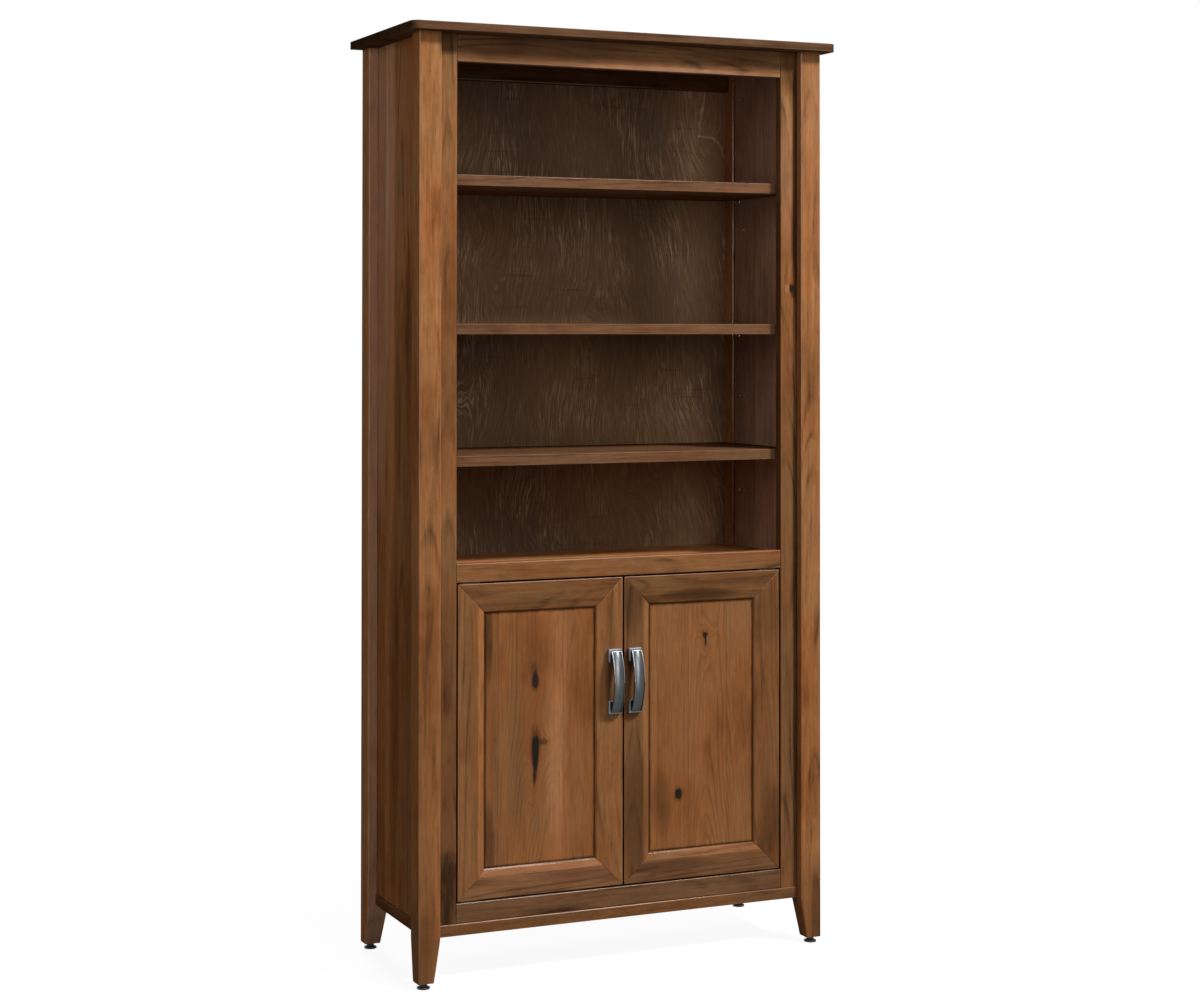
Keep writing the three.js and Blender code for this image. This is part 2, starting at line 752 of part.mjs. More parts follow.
addTopBoard();
for (const end of ends) {
  for (const side of sides) {
    addPost(end, side);
    addGlide(end, side);
  }
}
sides.forEach(addStile);
rails.forEach(addRail);
addSkirts();
decks.forEach(addDeck);
for (const shelf of shelves) {
  addShelf(shelf);
  for (const side of sides) {
    for (const row of pinRows) {
      addPin(shelf, side, row);
    }
  }
}
sides.forEach(addSidePanel);
addBack();
for (const side of sides) {
  for (const hinge of hinges) {
    addFrameLeaf(hinge, side);
  }
  addDoor(side);
}
addCatch();

export default bookcase;
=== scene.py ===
"""Bookcase with cabinet doors: boards with rounded arrises, stained wood, pewter handles and hardware,
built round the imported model."""

import json
import math
import random

import bmesh
import bpy
from bpy.props import FloatProperty, FloatVectorProperty, IntProperty, PointerProperty
from mathutils import Matrix, Vector


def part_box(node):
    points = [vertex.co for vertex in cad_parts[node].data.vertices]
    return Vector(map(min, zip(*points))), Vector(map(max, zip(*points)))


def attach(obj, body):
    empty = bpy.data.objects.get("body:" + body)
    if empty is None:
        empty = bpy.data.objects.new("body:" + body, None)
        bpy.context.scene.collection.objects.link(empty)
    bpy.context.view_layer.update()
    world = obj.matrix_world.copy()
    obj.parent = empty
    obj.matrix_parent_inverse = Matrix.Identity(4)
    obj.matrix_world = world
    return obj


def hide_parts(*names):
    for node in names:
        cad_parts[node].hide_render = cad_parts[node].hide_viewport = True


bl_info = {
    "name": "Bookcase with Cabinet Doors",
    "version": (1, 0, 0),
    "blender": (4, 5, 0),
    "location": "View3D > Sidebar > Bookcase",
    "description": "Dresses the packed bookcase with rounded boards, wood, metal and a plain stage",
    "category": "Object",
}

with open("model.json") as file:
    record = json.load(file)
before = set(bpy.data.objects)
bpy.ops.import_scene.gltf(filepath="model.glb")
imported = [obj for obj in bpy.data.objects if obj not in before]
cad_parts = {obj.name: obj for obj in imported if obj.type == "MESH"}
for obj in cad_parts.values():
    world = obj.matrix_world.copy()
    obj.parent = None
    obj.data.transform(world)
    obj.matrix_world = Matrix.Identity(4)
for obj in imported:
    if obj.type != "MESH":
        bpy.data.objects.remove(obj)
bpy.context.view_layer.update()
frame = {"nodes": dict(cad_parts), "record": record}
BODY_OF = {node: body for body, nodes in frame["record"]["behaviour"]["bodies"].items() for node in nodes}
SLOT_OF = {entry["node"]: entry["material_slot"] for entry in frame["record"]["subparts"]}
SIDES = {"left": -1, "right": 1}
ENDS = ("front", "rear")
SHELVES = ("upper", "middle", "lower")
MM = 0.001


def middle(node):
    """The centre of a node's box."""
    low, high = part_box(node)
    return (low + high) / 2


# Settings

def length_setting(name, description, default):
    return FloatProperty(name=name, description=description, default=default, min=0.0, unit="LENGTH")


def power_setting(name, description, default):
    return FloatProperty(name=name, description=description, default=default, min=0.0, unit="POWER")


def colour_setting(name, description, default):
    return FloatVectorProperty(name=name, description=description, default=default, subtype="COLOR")


class BookcaseSizes(bpy.types.PropertyGroup):
    """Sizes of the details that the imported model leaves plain."""

    arris: length_setting("Arris", "Rounding of the boards' edges", 1.0 * MM)
    soft_arris: length_setting(
        "Soft Arris", "Rounding where a door member's face turns into its slope", 2.6 * MM
    )
    arris_segments: IntProperty(
        name="Arris Segments", description="Steps in each rounded edge", default=3, min=1
    )
    sleeve_radius: length_setting(
        "Sleeve Radius", "Outer radius of the metal sleeves in the shelf pin holes", 3.9 * MM
    )
    sleeve_proud: length_setting(
        "Sleeve Rim", "How far a sleeve's rim stands out of the side panel", 0.5 * MM
    )
    screw_radius: length_setting("Screw Radius", "Radius of the hinge screws' heads", 2.4 * MM)


class BookcaseColours(bpy.types.PropertyGroup):
    """Colours of the finishes."""

    wood: colour_setting("Wood", "Stained wood in its redder growth", (0.262, 0.093, 0.029))
    wood_olive: colour_setting(
        "Olive Wood", "Stained wood in its yellower, duller growth", (0.235, 0.118, 0.049)
    )
    # Also the colour that the painted shadows darken the wood towards
    wood_dark: colour_setting(
        "Dark Wood", "Mineral streaks and the places where the stain sank in", (0.048, 0.023, 0.0105)
    )
    knot: colour_setting("Knot", "The heart of a knot, filled in black", (0.017, 0.015, 0.011))
    # Also the grey of the painted sheen, and the colour that pale patches and painted light blend the wood
    # towards
    wood_pale_and_sheen: colour_setting(
        "Hazy Wood", "Stained wood where the lacquer looks grey", (0.215, 0.125, 0.085)
    )
    plywood: colour_setting(
        "Back Plywood", "Stained plywood of the back, where it is warm", (0.275, 0.156, 0.077)
    )
    plywood_cool: colour_setting(
        "Back Plywood Shade", "Stained plywood of the back, where it is dark and cool", (0.150, 0.094, 0.062)
    )
    plywood_pale: colour_setting(
        "Back Plywood Figure", "Pale lines in the rotary-cut veneer of the back", (0.480, 0.312, 0.176)
    )
    pewter: colour_setting("Pewter", "Dark pewter of the handles", (0.088, 0.094, 0.096))
    # Also the colour of the handles' painted highlights
    pewter_rubbed_and_highlit: colour_setting(
        "Rubbed Pewter", "Pewter on the handles' edges, where hands rub it bright", (0.46, 0.48, 0.50)
    )
    nickel: colour_setting(
        "Nickel", "Nickel plate of the pins, sleeves, bolts and strikes", (0.60, 0.59, 0.57)
    )
    bronze: colour_setting(
        "Hinge Bronze", "Darkened steel of the knife hinges and their screws", (0.045, 0.036, 0.030)
    )
    black: colour_setting(
        "Black Plastic", "Moulded plastic of the glides and the catch", (0.018, 0.018, 0.019)
    )


class BookcaseStage(bpy.types.PropertyGroup):
    """Light and floor of the plain studio."""

    key_power: power_setting("Key Light", "Power of the key light", 440.0)
    key_size: length_setting("Key Light Size", "Side of the square key light", 1.0)
    fill_power: power_setting("Front Fill", "Power of the large soft light in front", 58.0)
    side_power: power_setting("Side Fill", "Power of the soft light at the left side", 30.0)
    rear_power: power_setting("Rear Light", "Power of the soft light that keeps the back readable", 120.0)
    top_power: power_setting("Top Light", "Power of the soft light overhead", 20.0)
    sky: FloatProperty(name="Sky", description="Strength of the even light from all round", default=0.09)
    floor: colour_setting(
        "Floor", "Part of the floor's white that the object's shadow takes away", (0.16, 0.16, 0.16)
    )
    glow: colour_setting(
        "Floor Glow", "Part of the floor's white that stays in the object's shadow", (0.92, 0.92, 0.92)
    )
    shadow_reach: length_setting("Shadow Reach", "How far round the object the floor shows a shadow", 2.2)


# Shader maths

def worked_out(operation, reflected=False):
    """A method that adds the Math node of an operation on its value and any others."""

    def method(self, *others):
        operands = (*others, self) if reflected else (self, *others)
        return self.finish.node("Math", {"operation": operation}, dict(enumerate(operands)))

    return method


class Value:
    """A socket in a node tree; an expression on values adds the Math nodes that work it out."""

    def __init__(self, finish, socket):
        self.finish = finish
        self.socket = socket

    __add__ = __radd__ = worked_out("ADD")
    __sub__ = worked_out("SUBTRACT")
    __rsub__ = worked_out("SUBTRACT", reflected=True)
    __mul__ = __rmul__ = worked_out("MULTIPLY")
    __truediv__ = worked_out("DIVIDE")
    __rtruediv__ = worked_out("DIVIDE", reflected=True)
    __pow__ = worked_out("POWER")
    __gt__ = worked_out("GREATER_THAN")
    root = worked_out("SQRT")
    fraction = worked_out("FRACT")
    size = worked_out("ABSOLUTE")
    at_most = worked_out("MINIMUM")
    at_least = worked_out("MAXIMUM")

    def share(self):
        """The value, held between 0 and 1."""
        return self.at_least(0.0).at_most(1.0)

    def step(self, low, high):
        """0 below low, 1 above high and a smooth turn between them; low may be the greater of the two."""
        return self.finish.node(
            "MapRange",
            {"interpolation_type": "SMOOTHSTEP"},
            {"Value": self, "From Min": low, "From Max": high},
        )


def squares(first, second):
    """The sum of two squares, of numbers or of values."""
    return first * first + second * second


class Finish:
    """The nodes of a new material, or of a world, added one by one."""

    def __init__(self, name, owner=None):
        self.owner = owner or bpy.data.materials.new(name)
        self.owner.use_nodes = True
        self.tree = self.owner.node_tree
        self.tree.nodes.clear()

    def node(self, kind, settings=None, sockets=None, output=0):
        """Adds a node: its settings first, then the values or links of its sockets."""
        made = self.tree.nodes.new("ShaderNode" + kind)
        for name, setting in (settings or {}).items():
            if name == "stops":
                self.set_stops(made.color_ramp, setting)
            else:
                setattr(made, name, setting)
        for name, content in (sockets or {}).items():
            if isinstance(content, Value):
                self.tree.links.new(content.socket, made.inputs[name])
            else:
                made.inputs[name].default_value = content
        return Value(self, made.outputs[output]) if made.outputs else None

    @staticmethod
    def set_stops(ramp, stops):
        while len(ramp.elements) < len(stops):
            ramp.elements.new(1.0)
        for element, (position, level) in zip(ramp.elements, stops):
            element.position = position
            element.color = (level, level, level, 1.0)

    def ramp(self, value, *stops):
        return self.node("ValToRGB", {"stops": stops}, {"Fac": value})

    def coordinates(self):
        """The piece's own coordinates, in metres: x, y and z."""
        place = self.node("TexCoord", output="Object")
        return [self.node("SeparateXYZ", sockets={"Vector": place}, output=axis) for axis in "XYZ"]

    def mark(self, name):
        """What the piece's faces say under a name, such as their wear and painted highlights."""
        return self.node("Attribute", {"attribute_name": name}, output="Fac")

    def noise(self, x, y, z, detail=2.0, roughness=0.5):
        """Smooth noise, whose patches are about 1 wide in each of the three directions."""
        point = self.node("CombineXYZ", sockets={"X": x, "Y": y, "Z": z})
        sockets = {"Vector": point, "Scale": 1.0, "Detail": detail, "Roughness": roughness}
        return self.node("TexNoise", {"noise_dimensions": "3D"}, sockets)

    def draw(self, number):
        """A chance level between 0 and 1, always the same for a number."""
        return self.node("TexWhiteNoise", {"noise_dimensions": "1D"}, {"W": number}, output="Value")

    def blend(self, share, first, second):
        """A colour between two others."""
        ends = {6: colour_socket(first), 7: colour_socket(second)}
        return self.node("Mix", {"data_type": "RGBA"}, {0: share, **ends}, output=2)

    def scaled(self, colour, level):
        """A colour made lighter or darker."""
        return self.node("VectorMath", {"operation": "SCALE"}, {0: colour, "Scale": level})

    def surface(self, colour, roughness, height, relief, others=None):
        """Ends the tree in one shader, with bump from a height between 0 and 1."""
        bump = self.node("Bump", sockets={"Height": height, "Distance": relief})
        sockets = {"Base Color": colour, "Roughness": roughness, "Normal": bump, **(others or {})}
        shader = self.node("BsdfPrincipled", sockets=sockets)
        self.node("OutputMaterial", sockets={"Surface": shader})
        return self.owner

    def seen(self):
        """1 for the rays that see the background: the camera's and those in glossy or clear surfaces."""
        rays = ("Is Camera Ray", "Is Glossy Ray", "Is Transmission Ray")
        eye, gloss, glass = (self.node("LightPath", output=ray) for ray in rays)
        return eye.at_least(gloss).at_least(glass)


def colour_socket(colour):
    return colour if isinstance(colour, Value) else (*colour, 1.0)


# Wood

class Spot:
    """A place in a board's face: across and along the grain, its half sizes, its depth and its taper."""

    def __init__(self, across, along, half_width, half_length, depth=1.0, taper=0.0):
        self.across, self.along = across * MM, along * MM
        self.half_width, self.half_length = half_width * MM, half_length * MM
        self.depth, self.taper = depth, taper


def spots(rows):
    return [Spot(*row) for row in rows]


# Knots that show; a row gives a spot in millimetres of the model's own frame
KNOTS = {
    "left_door_panel": (
        (-185, 565, 5.4, 12.5, 0.86, -0.15), (-187.6, 588, 5, 10, 0.22), (-184.6, 424, 6.2, 33, 1, 0.36),
        (-186.5, 377, 2.6, 12, 0.60, 0.3), (-166, 446, 8, 5, 0.40),
    ),
    "right_door_panel": (
        (183.2, 634, 3.8, 5.5, 0.95, 0.3), (184.6, 622, 1.6, 7, 0.9), (125.3, 322, 6.8, 10, 0.95),
    ),
    "right_stile": ((375, 1331, 3.6, 7, 0.95), (380, 1324, 4, 12, 0.5)),
}

# Places where the stain sank in, softly edged, and painted shadows; where the depth is below 0 the wood is
# made pale: bleach in some places, painted light in others
STAIN_AND_SHADE_PATCHES = {
    # On the left stile, the patch at the top is a painted shadow of the top board
    "left_stile": (
        (-366, 420, 40, 420, 0.42), (-366, 228, 26, 34, 0.42), (-362, 165, 40, 70, 0.50),
        (-370, 1180, 40, 260, 0.16), (-372, 1800, 34, 26, 0.50),
    ),
    # On the right stile: a painted shadow of the top board at its top, a painted shadow of the front right
    # post down its right edge, and painted light on the strip beside it
    "right_stile": (
        (374, 1790, 30, 60, 0.45), (392.5, 1580, 17, 420, 0.95), (392.5, 620, 15, 800, 0.46),
        (364, 1600, 18, 190, -0.22), (366, 1331, 6, 11, -0.30), (372, 640, 40, 700, 0.28),
    ),
    # The front posts are darker in the middle and at their feet; the right post's top is made lighter and
    # greyer, a painted sheen
    "front_left_post": (
        (-413, 1050, 30, 60, 0.18), (-420, 1080, 40, 260, 0.12), (-420, 430, 34, 480, 0.24),
        (-432, 10, 70, 170, 0.42),
    ),
    "front_right_post": (
        (422, 1720, 60, 300, -0.09), (422, 1000, 40, 300, 0.08), (432, 10, 70, 160, 0.36),
    ),
    # On the top rail: a painted shadow of the top board over its upper part, with darker streaks, and painted
    # light along its lower edge
    "top_rail": (
        (1786, -190, 30, 230, 0.36), (1794, 240, 16, 150, 0.26), (1763, 0, 7, 460, -0.24),
    ),
    "left_door_panel": (
        (-284, 630, 13, 90, 0.50), (-282, 265, 12, 80, 0.42), (-262, 440, 60, 380, 0.16),
        (-196, 470, 48, 260, 0.22), (-138, 470, 26, 340, -0.13),
    ),
    "left_door_left_stile": ((-322, 560, 16, 150, 0.16), (-306, 300, 16, 90, 0.14)),
    "left_door_right_stile": ((-26, 640, 12, 90, 0.22),),
    "right_door_left_stile": ((16, 700, 26, 70, 0.28), (26, 270, 36, 150, 0.30)),
    "right_door_right_stile": ((322, 670, 24, 70, 0.18), (320, 260, 26, 90, 0.20)),
    "right_door_top_rail": ((718, 180, 15, 95, 0.42), (705, 40, 18, 50, 0.25)),
    "right_door_bottom_rail": ((182, 120, 16, 100, 0.25),),
    "right_door_panel": ((88, 310, 24, 75, 0.34), (288, 350, 14, 120, 0.20)),
    # On the left side panel the rear boards are made paler, and the pale patches towards the top paint the
    # lacquer's sheen
    "left_side_panel": (
        (64, 1480, 32, 760, -0.46), (120, 1480, 44, 760, -0.46), (120, 1640, 60, 240, -0.10),
        (0, 1560, 60, 300, -0.20), (70, 1120, 22, 340, 0.24), (-50, 640, 80, 760, 0.22),
        (-44, 1180, 15, 300, 0.28), (16, 1050, 20, 160, 0.40), (36, 480, 30, 440, 0.42),
        (-60, 420, 60, 320, 0.12),
    ),
}

# Eyes in the figure of the back's veneer
PLYWOOD_EYES = (
    (345, 1648, 40, 60, 1), (60, 1290, 46, 60), (-150, 1340, 40, 80, 0.8), (-230, 1100, 36, 70, 0.9),
    (150, 905, 40, 52),
)

# Glue joints across the panels, in millimetres of the model's own frame
GLUE_JOINTS = {
    "left_side_panel": (32, 92),
    "right_side_panel": (-62, 48),
    "left_door_panel": (-262, -126.5),
    "right_door_panel": (77, 146, 232),
    "top_board": (-118, -12, 96),
}

# How light a board's stain is, where it differs from its neighbours; the upper deck's and the rear left
# post's values are painted light, which lifts boards that stand in shade
TONES = {
    "top_board": 0.43, "top_rail": 0.80, "front_left_post": 1.14, "front_right_post": 1.08,
    "right_side_panel": 1.12, "upper_shelf": 0.64, "middle_shelf": 0.60, "lower_shelf": 0.58,
    "back_top_rail": 0.50, "left_side_panel": 1.04, "right_door_left_stile": 0.66,
    "right_door_right_stile": 0.71, "right_door_top_rail": 0.60, "right_door_bottom_rail": 0.67,
    "left_door_top_rail": 0.67, "left_door_bottom_rail": 0.85, "bottom_rail": 0.59, "front_skirt": 0.66,
    "left_skirt": 0.52, "right_stile": 0.92, "middle_rail": 0.81, "upper_deck": 2.00,
    "rear_left_post": 1.24, "left_door_left_stile": 0.85, "left_door_right_stile": 0.91,
    "left_door_panel": 0.91, "right_door_panel": 0.84,
}

# Painted sheen: how grey a board is made, standing in for the lacquer's reflection of the light; and how much
# of their gleam its arrises keep
PAINTED_SHEEN = {
    "right_side_panel": 0.78, "upper_shelf": 0.40, "middle_shelf": 0.30, "lower_shelf": 0.30,
    "top_board": 0.46, "top_rail": 0.20, "bottom_rail": 0.25, "left_door_bottom_rail": 0.25,
    "right_door_bottom_rail": 0.20,
}
OUTER_PAINTED_SHEEN = 0.12
GLEAM = {
    "rear_right_post": 0.40, "rear_left_post": 0.60, "left_side_panel": 0.40, "right_side_panel": 0.40,
    "left_skirt": 0.10, "front_skirt": 0.50,
}


# How a board's figure shows: the plain boards, and the kinds that differ, by a part of their name
PLAIN_FIGURE = {
    "tilt": 0.014, "spacing": 0.0062, "hue": 0.85, "bold": 0.90, "mineral": 0.22, "fibre": 1.15,
    "lines": 0.38,
}
FIGURES = {
    "side_panel": {"mineral": 0.14, "fibre": 0.95, "bold": 0.65, "olive": -0.25},
    "door_panel": {
        "tilt": 0.050, "spacing": 0.0046, "hue": 0.70, "bold": 0.45, "mineral": 0.05, "fibre": 0.80,
        "lines": 0.23, "olive": -0.20,
    },
    "_door_": {
        "tilt": 0.022, "spacing": 0.0042, "hue": 0.60, "bold": 0.60, "mineral": 0.10, "fibre": 1.05,
        "lines": 0.34, "olive": 0.00,
    },
}


class Grain:
    """How a board lies in its log: its long axis, its face, and where the heart of the tree was."""

    def __init__(self, node):
        low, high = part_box(node)
        size, centre = high - low, (low + high) / 2
        self.face, self.across, self.along = sorted(range(3), key=lambda axis: size[axis])
        draws = random.Random(node)
        self.heart_across = centre[self.across] + draws.uniform(-0.3, 0.3) * size[self.across]
        self.heart_behind = centre[self.face] + draws.uniform(0.030, 0.075)
        self.offset = draws.uniform(0.0, 20.0)
        self.shade = TONES.get(node, draws.uniform(0.92, 1.08))
        self.olive = draws.uniform(-0.15, 0.15)
        kind = next((kind for kind in FIGURES if kind in node), None)
        for name, number in {**PLAIN_FIGURE, **FIGURES.get(kind, {})}.items():
            setattr(self, name, number)


LACQUER = {"Specular IOR Level": 0.0, "Coat Roughness": 0.20}


def stained_wood(node):
    """Brown stained, lacquered wood with growth rings, fibres, mineral streaks and the node's knots, with
    painted sheen, painted shadows, painted highlights on edges and slopes, and painted shade in gaps and
    corners.
    """
    colours = bpy.context.scene.bookcase_colours
    grain = Grain(node)
    finish = Finish(node + "_wood")
    place = finish.coordinates()
    across, behind, along = place[grain.across], place[grain.face], place[grain.along]
    shade, shift = grain.shade, grain.offset
    joints = GLUE_JOINTS.get(node, ())
    glue, stave_shade = 0.0, 1.0
    if joints:
        stave = sum((across > joint * MM for joint in joints), start=0.0)
        draw, second = finish.draw(stave + shift), finish.draw(stave + (shift + 7.3))
        stave_shade = 0.88 + draw * 0.24
        for joint in joints:
            glue = glue + 1.0 - (across - joint * MM).size().step(0.0002, 0.0009)
        across = across + (draw - 0.5) * 0.13
        along = along + second * 3.0

    # Growth rings round the heart, bent by the knots
    fibre = finish.noise(across * 210, behind * 210 + shift, along * 13, detail=3.0, roughness=0.75)
    mottle = finish.noise(across * 90, behind * 90, along * 34 + shift, detail=3.0, roughness=0.6)
    drift = finish.noise(across * 5 + shift, behind * 5, along * 1.6, detail=1.0)
    wave = finish.noise(across * 16, behind * 16 + shift, along * 4.5)
    from_heart = across - grain.heart_across + (drift - 0.5) * 0.030 + (wave - 0.5) * 0.008
    depth = behind - grain.heart_behind
    radius = squares(from_heart, depth).root() + along * grain.tilt + (drift - 0.5) * 0.036
    knots, halo, smudge = 0.0, 0.0, 0.0
    torn = (fibre - 0.5) * 0.9 + (mottle - 0.5) * 1.1
    for knot in spots(KNOTS.get(node, ())):
        ragged = (wave - 0.5) * knot.half_width
        reach_along = (place[grain.along] - knot.along) / knot.half_length
        half_width = knot.half_width * (1 + reach_along.at_least(-1.5).at_most(1.5) * knot.taper)
        reach_across = (place[grain.across] - knot.across + ragged) / half_width
        square = squares(reach_across, reach_along)
        blunt = reach_across.size() ** 3 + reach_along.size() ** 3
        knots = knots + (blunt + torn).step(1.45, 0.75) * knot.depth
        smudge = smudge + (square + torn * 2.4).step(4.2, 0.6) * knot.depth
        halo = halo + square.step(15.0, 0.8) * knot.depth
        radius = radius + 0.016 / (square * 0.16 + 1.0)
    rings = radius / grain.spacing
    rings = rings + (finish.noise(radius * 70, shift, along * 2, detail=1.0) - 0.5) * 3.0
    late = finish.ramp(rings.fraction(), (0.0, 0.15), (0.10, 0.0), (0.60, 0.10), (0.86, 1.0), (1.0, 0.15))

    # Stain that sank in and painted shadows, and places made pale: bleach and painted light
    sunk = 0.0
    patches = spots(STAIN_AND_SHADE_PATCHES.get(node, ()))
    for patch in patches:
        ragged_across, ragged_along = (wave - 0.5) * patch.half_width, (drift - 0.5) * patch.half_length
        reach_across = (place[grain.across] - patch.across + ragged_across) / patch.half_width
        reach_along = (place[grain.along] - patch.along + ragged_along) / patch.half_length
        sunk = sunk + squares(reach_across, reach_along).step(1.3, 0.1) * patch.depth
    bleach_and_painted_light = 0.0 - sunk.at_most(0.0) if patches else 0.0
    # Painted light on the rear left post's front face, where the cabinet shades it
    if node == "rear_left_post":
        bleach_and_painted_light = finish.mark("pale")

    # Fibres, streaks and clouds
    reed = finish.noise(across * 130 + wave * 1.5, behind * 130 + shift, along * 3.2)
    streak = finish.noise(across * 34 + shift, behind * 34, along * 2.0, detail=3.0, roughness=0.6)
    cloud = finish.noise(across * 11, behind * 11, along * 4.2 + shift, detail=3.0, roughness=0.6)
    curl = finish.noise(across * 26 + wave * 2, behind * 26, along * 30 + shift)
    pore = finish.noise(across * 1100, behind * 1100, along * 55, detail=1.0).step(0.64, 0.76)

    # The colours, from the warm ground to the dark places and the knots, with the painted light and shade
    arris, end_grain, slope, gap = (finish.mark(name) for name in ("arris", "end_grain", "slope", "gap"))
    # The slope mark paints light on the door members' slopes: less olive, less dark and paler
    olive = ((cloud - 0.5) * 2.4 + (streak - 0.5) * 1.3) * grain.hue + (0.5 + grain.olive) - slope * 0.9
    if node in KNOTS:
        olive = olive - halo * 0.5
    warm = finish.blend(olive.share(), colours.wood, colours.wood_olive)
    # Painted sheen: the wood is greyed, standing in for the lacquer's reflection of the light, more on the
    # right side panel's inner face than on its outer; pale patches, bleach and painted light, blend the same
    # way
    haze = PAINTED_SHEEN.get(node, 0.0)
    if node == "right_side_panel":
        inner = (middle(node).x - place[0]).step(-0.001, 0.001)
        haze = inner * haze + (1 - inner) * OUTER_PAINTED_SHEEN
    if haze or bleach_and_painted_light:
        warm = finish.blend(bleach_and_painted_light + haze, warm, colours.wood_pale_and_sheen)
    mineral = (streak * 0.7 + reed * 0.3).step(0.54, 0.70) * grain.mineral + cloud.step(0.46, 0.30) * 0.20
    # Sunk stain and painted shadows darken alike
    sunk_stain_and_shade = sunk * (fibre * 1.1 + mottle * 0.9 + reed * 0.4 - 0.20)
    darkness = mineral + sunk_stain_and_shade + max(0.0, 1.0 - shade) * 1.25 + smudge * 0.55 - slope * 0.9
    stained = finish.blend(darkness.share(), warm, colours.wood_dark)
    bold = (reed - 0.5) * 0.46 + (mottle - 0.5) * 0.40 + (curl - 0.5) * 0.34
    tone = 1.05 + bleach_and_painted_light + (fibre - 0.5) * grain.fibre + bold * grain.bold + (cloud - 0.5) * 0.30
    tone = tone - pore * 0.26 - late * ((streak.step(0.42, 0.64) + 0.35) * grain.lines)
    # The arris mark lightens the edges as wear and as a painted highlight together
    level = tone * stave_shade * max(1.0, shade) * (1 + arris * 0.20 + slope) * (1 - end_grain * 0.55)
    # Painted shade on the faces in the gaps round the doors
    level = level * (1 - gap * 0.8)
    if joints:
        level = level * (1 - glue * 0.25)
    # Painted shade in a door panel's corners against its frame, with the stain gathered there
    if node.endswith("door_panel"):
        level = level * (1 - corner_glaze_and_shade(node, place, (mottle - 0.5) * 0.004) * 0.75)
    toned = finish.scaled(stained, level)
    if node in KNOTS:
        toned = finish.blend(knots.at_most(1.0), toned, colours.knot)
    roughness = 0.40 + fibre * 0.16 - arris * 0.06
    height = fibre * 0.5 + late * 0.25 - pore * 0.5 + 0.4
    gleam = arris * (0.62 * GLEAM.get(node, 1.0))
    if grain.along == 2 and "_door_" not in node:
        gleam = gleam * (0.15 + place[2].step(0.5, 1.3) * 0.85)
    lacquer = {**LACQUER, "Coat Weight": gleam}
    return finish.surface(toned, roughness, height, relief=0.06 * MM, others=lacquer)


def corner_glaze_and_shade(node, place, ragged):
    """Painted shade round a door panel, in the corner against its frame, together with the stain that gathers
    there.
    """
    door = node.removesuffix("_panel")
    left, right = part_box(door + "_left_stile")[1].x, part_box(door + "_right_stile")[0].x
    low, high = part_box(door + "_bottom_rail")[1].z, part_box(door + "_top_rail")[0].z
    from_side = (right - left) / 2 - (place[0] - (left + right) / 2).size()
    from_rail = (high - low) / 2 - (place[2] - (low + high) / 2).size()
    return (from_side.at_most(from_rail) + ragged).step(0.0062, 0.0010)


# A pale crooked crack in the back's veneer, in millimetres
CRACK = ((341, 1762), (333, 1722), (327, 1664), (360, 1661), (374, 1650), (386, 1622))


def crack_line(x, z, wander):
    """The crack as short strokes, each fading with the distance from it."""
    across = x + (wander - 0.5) * 0.016
    stroke = 0.0
    for (start_x, start_z), (end_x, end_z) in zip(CRACK, CRACK[1:]):
        run_x, run_z = (end_x - start_x) * MM, (end_z - start_z) * MM
        from_x, from_z = across - start_x * MM, z - start_z * MM
        share = ((from_x * run_x + from_z * run_z) / squares(run_x, run_z)).share()
        off = squares(from_x - share * run_x, from_z - share * run_z)
        stroke = stroke + off.step(0.0034**2, 0.0004**2) * 0.66
    return stroke


